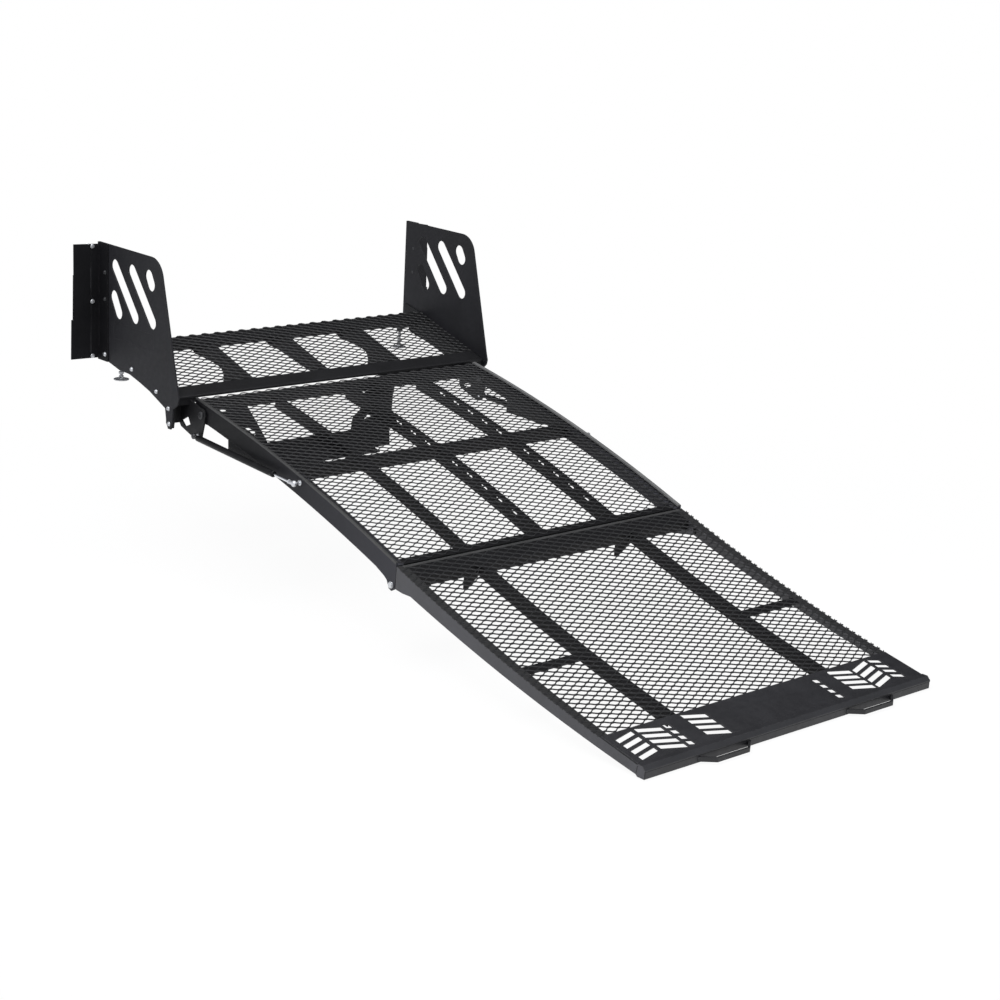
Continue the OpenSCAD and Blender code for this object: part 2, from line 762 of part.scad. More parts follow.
// Box stringer with closed top and open inside
module lower_stringer(x) {
  s0 = 80.4;
  s1 = 1043;
  t = 4;
  w = low_str_w;
  yz(x - w / 2, x + w / 2)
    polygon(concat(low_deck_line(str_top_d, s0, s1), flip(low_deck_line(str_top_d + t, s0, s1))));
  for (u = [x - w / 2, x + w / 2 - t]) {
    yz(u, u + t)
      polygon(concat(low_deck_line(str_top_d, s0, s1), flip(low_deck_line(str_top_d + low_str_h, s0, s1))));
  }
}

module lower_stringer_left() {
  color("#222326") lower_stringer(-low_str_x);
}

module lower_stringer_right() {
  color("#222326") lower_stringer(low_str_x);
}

// Short bars from the rails to the stringers
module lower_cross_bars() {
  x0 = low_str_x + low_str_w / 2;
  l = web_in - x0;
  color("#222326") right_too() on_low_deck(628, str_top_d) difference() {
    translate([x0, 0, 0]) {
      translate([0, -38, -plate_t]) cube([l, 38, plate_t]);
      translate([0, -plate_t, -30]) cube([l, plate_t, 30]);
    }
    rail_notch();
  }
}

module lower_deck() {
  p = low_len / n_deck;
  s_end = 1042;
  color("#2e2f32") for (i = [0:n_deck - 1]) {
    a = low_ang(i * p);
    b = low_ang((i + 1) * p);
    q = low_pt(a, str_top_d);
    l = norm(low_pt(b, str_top_d) - q) - 2 * panel_gap;
    short = i == n_deck - 1 ? l * (1 - ((i + 1) * p - s_end) / p) : l;
    translate([0, q[0], q[1]]) rotate([(a + b) / 2, 0, 0]) translate([0, -panel_gap, 0])
      linear_extrude(mesh_t) {
        if (short > 60) mesh_2d(lower_deck_hw, short, 8, 2, 4);
        else translate([-lower_deck_hw, -short]) square([2 * lower_deck_hw, short]);
      }
  }
}

// Slanted slot of the end plate, from x0 to x1, rising by dy, hgt wide. Each x is counted from the edge beside it.
module chev(x0, x1, y0, dy, hgt) {
  polygon([[x0, y0 - hgt / 2], [x1, y0 + dy - hgt / 2], [x1, y0 + dy + hgt / 2], [x0, y0 + hgt / 2]]);
}

ep_s0 = 1043;

// Plate at the ground end with rows of chevron slots, laid on the rail flanges like the mesh
module lower_end_plate() {
  l = low_len - ep_s0;
  rows = 4;
  pitch = 34;
  hgt = 25;
  broad = 21;
  hw = lower_deck_hw;
  color("#27282b") on_low_deck(ep_s0 + l / 2, str_top_d) linear_extrude(mesh_t) difference() {
    translate([-lower_deck_hw, -l / 2]) square([2 * lower_deck_hw, l]);
    for (k = [0:rows - 1]) translate([0, -pitch * (k - 1.5) - 4]) {
      chev(27.5 - hw, 115.5 - hw, -8, 20, broad);
      chev(129.5 - hw, 223.5 - hw, 18, -30, hgt);
      chev(234.5 - hw, 258.5 - hw, -2, -8, hgt - 1);
      chev(333.5 - hw, 423.5 - hw, 18, -30, hgt);
      chev(hw - 424.5, hw - 400.5, -2, -8, hgt - 1);
      chev(hw - 330.5, hw - 235.5, 18, -30, hgt);
      chev(hw - 227.5, hw - 128.5, -15, 30, broad);
      chev(hw - 117.5, hw - 71.5, 16, -20, hgt - 3);
    }
  }
}

tube_y1 = low_pt(low_a1, 0)[0] - 0.2;
tube_y0 = tube_y1 - 30;
tube_z1 = low_pt(low_a1, 0)[1] - 1;
tube_h = 39.9877;
tube_z0 = tube_z1 - tube_h;

// Tube with a bevelled upper edge that rests on the ground
module lower_end_tube() {
  color("#2b2c2f") yz(-ramp_half_w, ramp_half_w) difference() {
    polygon([[tube_y1, tube_z1], [tube_y1, tube_z0], [tube_y0, tube_z0], [tube_y0, tube_z1 - 12],
      [tube_y0 + 12, tube_z1]]);
    polygon([[tube_y1 - 4, tube_z1 - 4], [tube_y1 - 4, tube_z0 + 4], [tube_y0 + 4, tube_z0 + 4],
      [tube_y0 + 4, tube_z1 - 14], [tube_y0 + 14, tube_z1 - 4]]);
  }
}

// A straight length of flat bar between two points of a plane, with round ends
module bar_2d(a, b, t) {
  v = b - a;
  translate(a) rotate(atan2(v[1], v[0])) translate([0, -t / 2]) square([norm(v), t]);
  translate(a) circle(t / 2);
  translate(b) circle(t / 2);
}

// Flat bar loop with splayed legs standing off the tube, with a gap for the fingers
module handle(x) {
  h = handle_h;
  reach = 40;
  z0 = tube_z0 + 4;
  t = handle_t;
  foot_in = handle_l / 2 - t / 2;
  out = handle_out_l / 2 - t / 2;
  translate([x, tube_y0, z0 + h]) rotate([180, 0, 0]) linear_extrude(h) difference() {
    union() {
      bar_2d([-foot_in, 0], [-out, reach - t / 2], t);
      bar_2d([-out, reach - t / 2], [out, reach - t / 2], t);
      bar_2d([out, reach - t / 2], [foot_in, 0], t);
    }
    translate([-handle_l, -40]) square([2 * handle_l, 40]);
  }
}

module left_handle() {
  color("#2b2c2f") handle(-left_handle_x);
}

module right_handle() {
  color("#2b2c2f") handle(right_handle_x);
}

// Triangular lugs under the stringers that steady the fold
module stop_lugs() {
  t = 8;
  color("#222326") for (x = [-low_str_x, low_str_x]) yz(x - t / 2, x + t / 2)
    polygon([low_pt(low_ang(4), 44.6), fold_p + [-9, -11], fold_p + [-7, -66], fold_p + [-22, -66],
      low_pt(low_ang(76), 44.6)]);
}

// Pins of the fold hinge
module fold_pins() {
  color("#c9ccd0") right_too() {
    xbar(fold_p, fold_pin_d / 2, web_in - 30, ramp_half_w + 2);
    xbar(fold_p, fold_pin_d / 2 + 4, ramp_half_w, ramp_half_w + 6);
  }
}

// Gas struts

module along_strut(p) {
  translate([0, p[0], p[1]]) rotate([strut_ang, 0, 0]) children();
}

// Cylinder with a socket eye at its lower end and a gland at the other
module strut_cylinder() {
  eye = 24;
  along_strut(strut_a) difference() {
    union() {
      translate([strut_x, -eye + 1, 0]) rotate([90, 0, 0]) cylinder(d = strut_d, h = strut_cyl_l - eye + 1);
      translate([strut_x, -8, 0]) rotate([90, 0, 0]) cylinder(d = 13, h = 20);
      translate([strut_x - 6, 0, 0]) rotate([0, 90, 0]) cylinder(r = 11, h = 13);
    }
    translate([strut_x, -110, 0]) rotate([90, 0, 0]) cylinder(d = strut_d - 4, h = strut_cyl_l - 130);
    translate([strut_x, -200, 0]) rotate([90, 0, 0]) cylinder(r = strut_rod_d / 2 + pin_gap, h = strut_cyl_l);
    translate([strut_x, 0, 0]) sphere(ball_r + pin_gap);
    translate([strut_x - 7, 0, 0]) rotate([0, 90, 0]) cylinder(r = 6, h = 7);
  }
}

// Rod with its eye and ball stud, which stops just short of the stud on the rail
module strut_rod() {
  along_strut(strut_b) {
    translate([strut_x, 0, 0]) rotate([-90, 0, 0]) cylinder(d = strut_rod_d, h = strut_rod_in + 120);
    translate([ramp_half_w + 6.4, 0, 0]) rotate([0, 90, 0]) cylinder(r = 5, h = strut_x - ramp_half_w - 6.4);
    translate([strut_x - 6, 0, 0]) rotate([0, 90, 0]) cylinder(r = 11, h = 13);
    translate([strut_x, 8, 0]) rotate([-90, 0, 0]) cylinder(d = 14, h = 22);
  }
}

module left_strut_cylinder() {
  color("#202124") mirror([1, 0, 0]) strut_cylinder();
}

module left_strut_rod() {
  color("#c3c6ca") mirror([1, 0, 0]) strut_rod();
}

module right_strut_cylinder() {
  color("#202124") strut_cylinder();
}

module right_strut_rod() {
  color("#c3c6ca") strut_rod();
}

// Build

left_post();
right_post();
left_wing();
right_wing();
post_bolts();
wing_bolts();
platform_front_beam();
platform_rear_beam();
left_side_rail();
right_side_rail();
platform_stringer_left();
platform_stringer_centre();
platform_stringer_right();
platform_deck();
left_hinge_bracket();
right_hinge_bracket();
lift_pins();
strut_anchor_studs();
foot_brackets();
left_foot();
right_foot();
upper_rail_left();
upper_rail_right();
upper_head_beam();
upper_cross_beam();
upper_end_beam();
upper_stringer_left();
upper_stringer_centre();
upper_stringer_right();
upper_deck();
upper_hinge_ears();
upper_plate_carrier();
upper_carrier_stay();
strut_rail_studs();
fold_knuckles();
lower_rail_left();
lower_rail_right();
lower_head_beam();
lower_stringer_left();
lower_stringer_right();
lower_cross_bars();
lower_deck();
lower_end_plate();
lower_end_tube();
left_handle();
right_handle();
stop_lugs();
fold_pins();
left_strut_cylinder();
left_strut_rod();
right_strut_cylinder();
right_strut_rod();
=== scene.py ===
import math

import bmesh
import bpy
from bpy.props import FloatProperty, FloatVectorProperty, PointerProperty
from mathutils import Matrix, Vector


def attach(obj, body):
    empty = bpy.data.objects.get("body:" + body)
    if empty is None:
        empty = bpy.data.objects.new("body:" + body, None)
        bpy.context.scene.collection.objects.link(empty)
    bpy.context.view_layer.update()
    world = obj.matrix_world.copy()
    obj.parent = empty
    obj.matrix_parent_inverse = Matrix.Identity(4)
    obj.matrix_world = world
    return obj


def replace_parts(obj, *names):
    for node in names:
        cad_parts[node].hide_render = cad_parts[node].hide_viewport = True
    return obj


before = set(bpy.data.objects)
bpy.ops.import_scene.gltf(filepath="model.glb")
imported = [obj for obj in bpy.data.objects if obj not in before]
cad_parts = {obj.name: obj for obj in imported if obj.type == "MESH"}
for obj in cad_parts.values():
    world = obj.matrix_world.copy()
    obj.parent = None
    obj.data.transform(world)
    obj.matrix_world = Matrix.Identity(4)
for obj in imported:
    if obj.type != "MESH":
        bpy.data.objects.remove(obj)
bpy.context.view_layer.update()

bl_info = {
    "name": "Pickup ramp rack",
    "version": (1, 0, 0),
    "blender": (4, 5, 0),
    "location": "View3D > Sidebar > Ramp Rack",
    "description": "Dresses a folding pickup ramp with expanded metal, powder coat and hardware",
    "category": "Object",
}

# Ramp curves, the same as in the part's source, in metres

PLATFORM_START = (-0.118, -0.145)
PLATFORM_SLOPE = math.radians(16.9)
PLATFORM_LENGTH = 0.3735
PLATFORM_HALF = 0.7525
UPPER_START = (-0.5706, -0.2828)
UPPER_SLOPES = (math.radians(9.675), math.radians(19.5))
UPPER_CHORD = 1.26695
UPPER_HALF = 0.6792
LOWER_START = (-1.803, -0.603)
LOWER_SLOPES = (math.radians(18.7), math.radians(10.2))
LOWER_CHORD = 1.2103
LOWER_MESH_END = 1.042
LOWER_HALF = 0.6895

# Places of the other pieces, the same as in the part's source

WING_OUT = 0.76
WING_IN = 0.754
RAIL_OUT = 0.686
RAIL_IN = 0.68
POST_FACE = 0.009
POST_BOLT_X = 0.794
POST_BOLT_Z = 0.214
LIFT_PIVOT = (-0.623, -0.334)
FOLD_PIVOT = (-1.774, -0.679)
STRUT_X = 0.714
STRUT_TOP = (-0.605, -0.416)
STRUT_FOOT = (-1.244, -0.448)
FOOT_AT = (0.694, -0.057)
FOOT_BASE = -0.31
FOOT_TOP = -0.188
TUBE_DEPTH = 0.03
TUBE_BEVEL = 0.012
TUBE_LOW = -0.946
HANDLES = ((-0.336, 0.238), (0.368, 0.238))
PLATE = 0.005
BRACKET_PAD = 0.008

# Bolts of a wing: y and z, what they clamp outside and inside its sheet, and whether they are seam bolts

WING_BOLTS = (((-0.054, -0.202), PLATE, PLATE, False), ((-0.054, 0.014), PLATE, 0.0, True),
              ((-0.054, 0.118), PLATE, 0.0, True), ((-0.242, -0.226), 0.0, PLATE, False),
              ((-0.417, -0.278), 0.0, PLATE, False), ((-0.502, -0.326), 0.0, BRACKET_PAD, False),
              ((-0.507, -0.384), 0.0, BRACKET_PAD, False))

# Posts: outer edge of the flange as x and z, its tops at the wing and at that edge, and the welds' heights

POST_EDGE = ((0.872, 0.107), (0.874, 0.106), (0.876, -0.067), (0.882, -0.068), (0.884, -0.222))
POST_TOPS = {"left": (0.221, 0.2245), "right": (0.2255, 0.206)}
POST_WELDS = ((-0.2, -0.12), (0.05, 0.13))

# The leg of a post on the wing, as y and z, and the outer edge of the doubler strip

POST_LEG = ((-0.072, -0.2285), (-0.072, 0.2285), (-0.0705, 0.23), (0.0, 0.23), (0.0, -0.23), (-0.0705, -0.23))
DOUBLER_OUT = 0.799

# The bar behind the rear beam's lip and the tab at each end, as x and z, and where the bar stands in y

REAR_LIP = ((0.1, -0.279), (0.1, -0.2835), (0.2, -0.288), (0.25, -0.2985), (0.685, -0.2995), (0.685, -0.279))
REAR_TAB = ((0.663, -0.276), (0.663, -0.3), (0.69, -0.309), (0.747, -0.309), (0.747, -0.276))
REAR_LIP_Y = (-0.5455, -0.5425)

# Under the platform: underside of the mesh, the front band's width and its leg's depth, ribs, side legs

DECK_LOW = -0.004
FRONT_BAND = 0.07
BAND_LEG = 0.055
RIB_END = 0.374
SIDE_LEG_X = 0.714

# Lower edges of the webs under the platform: length down the deck, and depth

OUTER_WEB = ((0.005, 0.087), (0.04, 0.079), (0.08, 0.071), (0.12, 0.063), (0.16, 0.0585), (0.18, 0.06),
             (0.195, 0.07), (0.204, 0.086), (0.208, 0.112), (0.28, 0.112), (0.373, 0.055))
MIDDLE_WEB = ((0.005, 0.085), (0.058, 0.075), (0.14, 0.068), (0.22, 0.062), (0.283, 0.055), (0.373, 0.05))
SIDE_WEB = ((0.005, 0.082), (0.062, 0.08), (0.123, 0.073), (0.203, 0.069), (0.3, 0.069), (0.372, 0.06))

# Ribs: name, x of the web, width of the flange, lower edge

RIBS = (("left", -0.371, 0.015, OUTER_WEB), ("centre", -0.013, 0.016, MIDDLE_WEB),
        ("right", 0.345, 0.026, OUTER_WEB))

# Corner plate at a rib, as x from its web and depth, and the starts and the length of a rib's welds

RIB_GUSSET = ((-0.032, BAND_LEG), (-0.03, 0.061), (-0.001, 0.088), (0.0, 0.088), (0.0, BAND_LEG))
RIB_WELDS = (0.1, 0.23, 0.35)
RIB_WELD_LENGTH = 0.025

# On the ramps: heights over the deck line of a plate under the mesh, of the fold strip and of the rails' lips

UNDER_MESH = (-0.0085, -0.0045)
FOLD_STRIP = (-0.0045, -0.0032)
RAIL_LIP = (0.0002, 0.0068)

# Ends down the deck and half width of the fold strip; outer edge of the lips, inner edge and coat of each

FOLD_STRIP_ENDS = (0.0022, 0.0135)
FOLD_STRIP_HALF = 0.665
LIP_OUT = 0.6864
# The lips are paler grey strips along the rails' tops, the right one wider and brighter: painted highlight
LIPS = {"left": (0.6785, "lip_highlight_coat"), "right": (0.672, "bright_lip_highlight_coat")}

# Outer edge of the corner gusset: length down the deck, and x; beside its two notches it meets the flange

FLANGE_IN = 0.652
GUSSET_EDGE = ((0.088, FLANGE_IN), (0.093, FLANGE_IN), (0.094, 0.62), (0.12, 0.627), (0.14, 0.648),
               (0.141, FLANGE_IN), (0.2, FLANGE_IN), (0.266, FLANGE_IN), (0.267, 0.634), (0.31, 0.626),
               (0.345, 0.646), (0.346, FLANGE_IN), (0.405, FLANGE_IN))

# Inner edge of that gusset: its x at the start, and its slope; ends and inner edge of the filler strip

GUSSET_IN = 0.517
GUSSET_LEAN = 0.372
FILLER_ENDS = (0.596, 0.618)
FILLER_IN = 0.522

# Gusset under a rail, beside its strut, as y and z

STRUT_GUSSET = ((-0.788, -0.37), (-0.7905, -0.4455), (-0.9, -0.4475), (-1.005, -0.4525), (-1.03, -0.44),
                (-0.99, -0.415))


class Curve:
    """The line of a deck seen from the side: y and z at a length along it, and its slope."""

    def __init__(self, start, slopes, chord):
        self.start = start
        self.slopes = slopes
        turn = slopes[1] - slopes[0]
        self.radius = chord / (2 * math.sin(turn / 2)) if abs(turn) > 1e-9 else None
        self.length = chord if self.radius is None else self.radius * turn

    def slope(self, s):
        return self.slopes[0] if self.radius is None else self.slopes[0] + s / self.radius

    def point(self, x, s, lift=0.0):
        """The point at x, a length s down the deck, and lift above it."""
        a0, a = self.slopes[0], self.slope(s)
        y, z = self.start
        if self.radius is None:
            y, z = y - s * math.cos(a0), z - s * math.sin(a0)
        else:
            y -= self.radius * (math.sin(a) - math.sin(a0))
            z += self.radius * (math.cos(a) - math.cos(a0))
        return Vector((x, y - lift * math.sin(a), z + lift * math.cos(a)))


PLATFORM = Curve(PLATFORM_START, (PLATFORM_SLOPE, PLATFORM_SLOPE), PLATFORM_LENGTH)
UPPER = Curve(UPPER_START, UPPER_SLOPES, UPPER_CHORD)
LOWER = Curve(LOWER_START, LOWER_SLOPES, LOWER_CHORD)


# Sizes and colours that a user would change

class RackSizes(bpy.types.PropertyGroup):
    mesh_long: FloatProperty(name="Diamond width", description="Width of one diamond across the ramp",
                             default=0.0589, subtype="DISTANCE")
    mesh_short: FloatProperty(name="Diamond height", description="Height of one diamond along the ramp",
                              default=0.0288, subtype="DISTANCE")
    strand_width: FloatProperty(name="Strand width", description="Width of a strand of the expanded metal",
                                default=0.0045, subtype="DISTANCE")
    strand_thick: FloatProperty(name="Strand thickness", description="Thickness of the flat sheet",
                                default=0.0022, subtype="DISTANCE")
    strand_tilt: FloatProperty(name="Strand tilt", description="How far the strands stand up from the deck",
                               default=math.radians(48), subtype="ANGLE")
    bond_length: FloatProperty(name="Bond length", description="Flat length where two strands join",
                               default=0.013, subtype="DISTANCE")


class RackColours(bpy.types.PropertyGroup):
    coat: FloatVectorProperty(name="Powder coat", description="Colour of wings, rails and beams",
                              default=(0.0066, 0.0066, 0.0078), size=3, subtype="COLOR")
    mesh: FloatVectorProperty(name="Mesh coat", description="Colour of the expanded metal",
                              default=(0.0075, 0.0075, 0.0084), size=3, subtype="COLOR")
    zinc: FloatVectorProperty(name="Zinc", description="Colour of bolts and pins",
                              default=(0.62, 0.63, 0.65), size=3, subtype="COLOR")
    floor: FloatVectorProperty(name="Floor", description="Colour of the floor",
                               default=(0.9, 0.9, 0.9), size=3, subtype="COLOR")


# Shader tools

class Value:
    """A number socket that takes part in Python arithmetic."""

    def __init__(self, recipe, socket):
        self.recipe = recipe
        self.socket = socket

    def _math(self, operation, first, second):
        return self.recipe.value("ShaderNodeMath", {"operation": operation}, {0: first, 1: second})

    def __add__(self, other):
        return self._math("ADD", self, other)

    def __radd__(self, other):
        return self._math("ADD", other, self)

    def __rsub__(self, other):
        return self._math("SUBTRACT", other, self)

    def __mul__(self, other):
        return self._math("MULTIPLY", self, other)

    def __rmul__(self, other):
        return self._math("MULTIPLY", other, self)


class Recipe:
    """The nodes of a material or a world under construction."""

    def __init__(self, owner):
        owner.use_nodes = True
        self.owner = owner
        self.tree = owner.node_tree
        self.tree.nodes.clear()

    def node(self, kind, settings=None, inputs=None):
        """Adds a node, sets its settings first and then its sockets."""
        node = self.tree.nodes.new(kind)
        for key, value in (settings or {}).items():
            setattr(node, key, value)
        for key, value in (inputs or {}).items():
            if isinstance(value, Value):
                self.tree.links.new(value.socket, node.inputs[key])
            elif isinstance(value, bpy.types.NodeSocket):
                self.tree.links.new(value, node.inputs[key])
            else:
                node.inputs[key].default_value = value
        return node

    def value(self, kind, settings=None, inputs=None, out=0):
        return Value(self, self.node(kind, settings, inputs).outputs[out])

    def noise(self, where, scale, detail=3.0, rough=0.5):
        return self.value("ShaderNodeTexNoise", None,
                          {"Vector": where, "Scale": scale, "Detail": detail, "Roughness": rough})

    def spread(self, value, low, high):
        """Maps low..high to 0..1, held at both ends."""
        return self.value("ShaderNodeMapRange", {"clamp": True},
                          {"Value": value, "From Min": low, "From Max": high, "To Min": 0.0, "To Max": 1.0})

    def part(self, vector, letter):
        """One of X, Y and Z of a vector."""
        split = self.node("ShaderNodeSeparateXYZ", None, {"Vector": vector})
        return Value(self, split.outputs[letter])

    def mix(self, factor, first, second):
        node = self.node("ShaderNodeMix", {"data_type": "RGBA"}, {0: factor, 6: first, 7: second})
        return node.outputs[2]

    def place(self):
        return self.node("ShaderNodeTexCoord").outputs["Object"]

    def surface(self, shader, kind="ShaderNodeOutputMaterial"):
        self.node(kind, None, {"Surface": shader.outputs[0]})
        return self.owner


def rgba(colour, scale=1.0):
    return tuple(min(1.0, c * scale) for c in colour[:3]) + (1.0,)


def edge_mask(recipe, radius):
    """The rounded normal near edges, and a mask that is 1 on them."""
    rounded = recipe.node("ShaderNodeBevel", {"samples": 4}, {"Radius": radius}).outputs[0]
    flat = recipe.node("ShaderNodeNewGeometry").outputs["True Normal"]
    match = recipe.value("ShaderNodeVectorMath", {"operation": "DOT_PRODUCT"}, {0: rounded, 1: flat}, out=1)
    return rounded, recipe.spread(match, 0.99, 0.86)


def powder_coat(name, coat, share, gloss=0.42, peel=0.05, wear_and_highlight=0.35, edge=0.0016, sheen=0.5, grey=False,
                shaded_top_share=None, paler=None):
    """Satin powder coat: orange peel, dust, edges greyed by wear and painted highlight; sheen is its specular
    level.

    Share multiplies the coat's colour, and grey takes the tint away. One more share darkens faces that do not
    look sideways: painted shade beside lit sides. Paler holds two places along Y between which it gets paler.
    """
    colour = [coat[0] * share] * 3 if grey else [c * share for c in coat]
    r = Recipe(bpy.data.materials.new(name))
    where = r.place()
    fine = r.noise(where, 620.0, 2.0, 0.6)
    cloud = r.noise(where, 7.0, 4.0, 0.6)
    scuff = r.noise(where, 46.0, 5.0, 0.65)
    rounded, edges = edge_mask(r, edge)
    worn_and_highlit = edges * r.spread(scuff, 0.35, 0.75) * wear_and_highlight
    dusty = r.spread(cloud, 0.42, 0.75) * 0.5
    base = r.mix(dusty, rgba(colour), rgba(colour, 1.9))
    rough = gloss + 0.16 * r.spread(scuff, 0.3, 0.8) + 0.1 * dusty
    # The colour gets paler along Y, up to seven times, towards the fold
    if paler:
        base = r.mix(r.spread(r.part(where, "Y"), *paler), base, rgba(colour, 7.0))
    # Sides keep the paler colour and other faces take the darker share: painted light and shade by facing
    if shaded_top_share:
        facing = r.node("ShaderNodeNewGeometry").outputs["True Normal"]
        side = r.value("ShaderNodeMath", {"operation": "ABSOLUTE"}, {0: r.part(facing, "X")})
        other = 1.0 - r.spread(side, 0.6, 0.9)
        base = r.mix(other, base, rgba([c * shaded_top_share for c in coat]))
        rough = rough + 0.4 * other
    # Edges turn grey where the coat is worn, and also as a painted highlight along them
    base = r.mix(worn_and_highlit, base, (0.11, 0.11, 0.115, 1.0))
    bump = r.node("ShaderNodeBump", None,
                  {"Strength": peel, "Distance": 0.001, "Height": fine, "Normal": rounded})
    shader = r.node("ShaderNodeBsdfPrincipled", None, {
        "Base Color": base, "Roughness": rough, "Normal": bump.outputs[0], "Specular IOR Level": sheen,
        "IOR": 1.5})
    return r.surface(shader)


def mesh_coat(name, colour):
    """Powder coat on the strands, a little worn on their crests."""
    r = Recipe(bpy.data.materials.new(name))
    where = r.place()
    cloud = r.noise(where, 9.0, 4.0, 0.6)
    grit = r.noise(where, 210.0, 3.0, 0.6)
    dusty = r.spread(cloud, 0.4, 0.75) * 0.6
    base = r.mix(dusty, rgba(colour), rgba(colour, 1.8))
    base = r.mix(r.spread(grit, 0.62, 0.8) * 0.4, base, (0.09, 0.09, 0.095, 1.0))
    bump = r.node("ShaderNodeBump", None, {"Strength": 0.12, "Distance": 0.001, "Height": grit})
    shader = r.node("ShaderNodeBsdfPrincipled", None, {
        "Base Color": base, "Roughness": 0.5 + 0.15 * grit, "Normal": bump.outputs[0]})
    return r.surface(shader)


def zinc_plate(name, colour, rough=0.3):
    """Bright zinc with a faint grain and darker spots."""
    r = Recipe(bpy.data.materials.new(name))
    where = r.place()
    grain = r.noise(where, 420.0, 3.0, 0.6)
    spots = r.noise(where, 90.0, 3.0, 0.5)
    rounded, edges = edge_mask(r, 0.0006)
    base = r.mix(r.spread(spots, 0.45, 0.75) * 0.5, rgba(colour), rgba(colour, 0.72))
    base = r.mix(edges * 0.4, base, rgba(colour, 1.25))
    bump = r.node("ShaderNodeBump", None, {"Strength": 0.08, "Distance": 0.0005, "Height": grain,
                                           "Normal": rounded})
    shader = r.node("ShaderNodeBsdfPrincipled", None, {
        "Base Color": base, "Metallic": 0.92 - 0.1 * r.spread(spots, 0.5, 0.8),
        "Roughness": rough + 0.18 * grain, "Normal": bump.outputs[0]})
    return r.surface(shader)


def chrome_rod(name):
    """Chrome with fine turning marks and a thin film of oil."""
    r = Recipe(bpy.data.materials.new(name))
    where = r.place()
    stretch = r.node("ShaderNodeMapping", None, {"Vector": where, "Scale": (1.0, 90.0, 90.0)}).outputs[0]
    turned = r.noise(stretch, 12.0, 2.0, 0.5)
    film = r.noise(where, 30.0, 3.0, 0.6)
    base = r.mix(r.spread(film, 0.5, 0.8) * 0.3, (0.83, 0.84, 0.86, 1.0), (0.62, 0.63, 0.65, 1.0))
    shader = r.node("ShaderNodeBsdfPrincipled", None, {
        "Base Color": base, "Metallic": 1.0, "Roughness": 0.09 + 0.08 * turned + 0.06 * film})
    return r.surface(shader)


def gloss_black(name):
    """Gloss paint of the strut cylinders."""
    r = Recipe(bpy.data.materials.new(name))
    where = r.place()
    cloud = r.noise(where, 14.0, 3.0, 0.5)
    fine = r.noise(where, 300.0, 2.0, 0.5)
    rounded, edges = edge_mask(r, 0.001)
    base = r.mix(r.spread(cloud, 0.4, 0.8), (0.005, 0.005, 0.0055, 1.0), (0.010, 0.010, 0.011, 1.0))
    base = r.mix(edges * 0.25, base, (0.08, 0.08, 0.085, 1.0))
    bump = r.node("ShaderNodeBump", None, {"Strength": 0.03, "Distance": 0.0005, "Height": fine,
                                           "Normal": rounded})
    shader = r.node("ShaderNodeBsdfPrincipled", None, {
        "Base Color": base, "Roughness": 0.26 + 0.1 * cloud, "Normal": bump.outputs[0],
        "Specular IOR Level": 0.12, "Coat Weight": 0.1, "Coat Roughness": 0.12})
    return r.surface(shader)


def floor_paint(name, colour):
    """Pale floor that shows white to the camera and keeps a soft shadow."""
    r = Recipe(bpy.data.materials.new(name))
    where = r.place()
    tone = r.noise(where, 0.8, 2.0, 0.5)
    base = r.mix(tone, rgba(colour), rgba(colour, 0.985))
    paint = r.node("ShaderNodeBsdfPrincipled", None, {"Base Color": base, "Roughness": 0.75,
                                                      "Specular IOR Level": 0.2})
    white = r.node("ShaderNodeEmission", None, {"Color": (1.0, 1.0, 1.0, 1.0), "Strength": 1.0})
    path = r.node("ShaderNodeLightPath")
    lit_front = r.spread(r.part(where, "Y"), 0.8, -1.6)
    reach = r.value("ShaderNodeVectorMath", {"operation": "DISTANCE"}, {0: where, 1: (0.0, -1.6, 0.0)}, out=1)
    under = r.spread(reach, 3.4, 1.4)
    seen = Value(r, path.outputs["Is Camera Ray"]) + Value(r, path.outputs["Is Transmission Ray"])
    seen = seen * (1.0 - 0.07 * under) + Value(r, path.outputs["Is Glossy Ray"]) * lit_front * 0.9
    shader = r.node("ShaderNodeMixShader", None, {0: seen, 1: paint.outputs[0], 2: white.outputs[0]})
    return r.surface(shader)


# Powder coats: what multiplies the coat's colour, and what else differs; some are darker or paler copies that
# hold painted shade and highlight

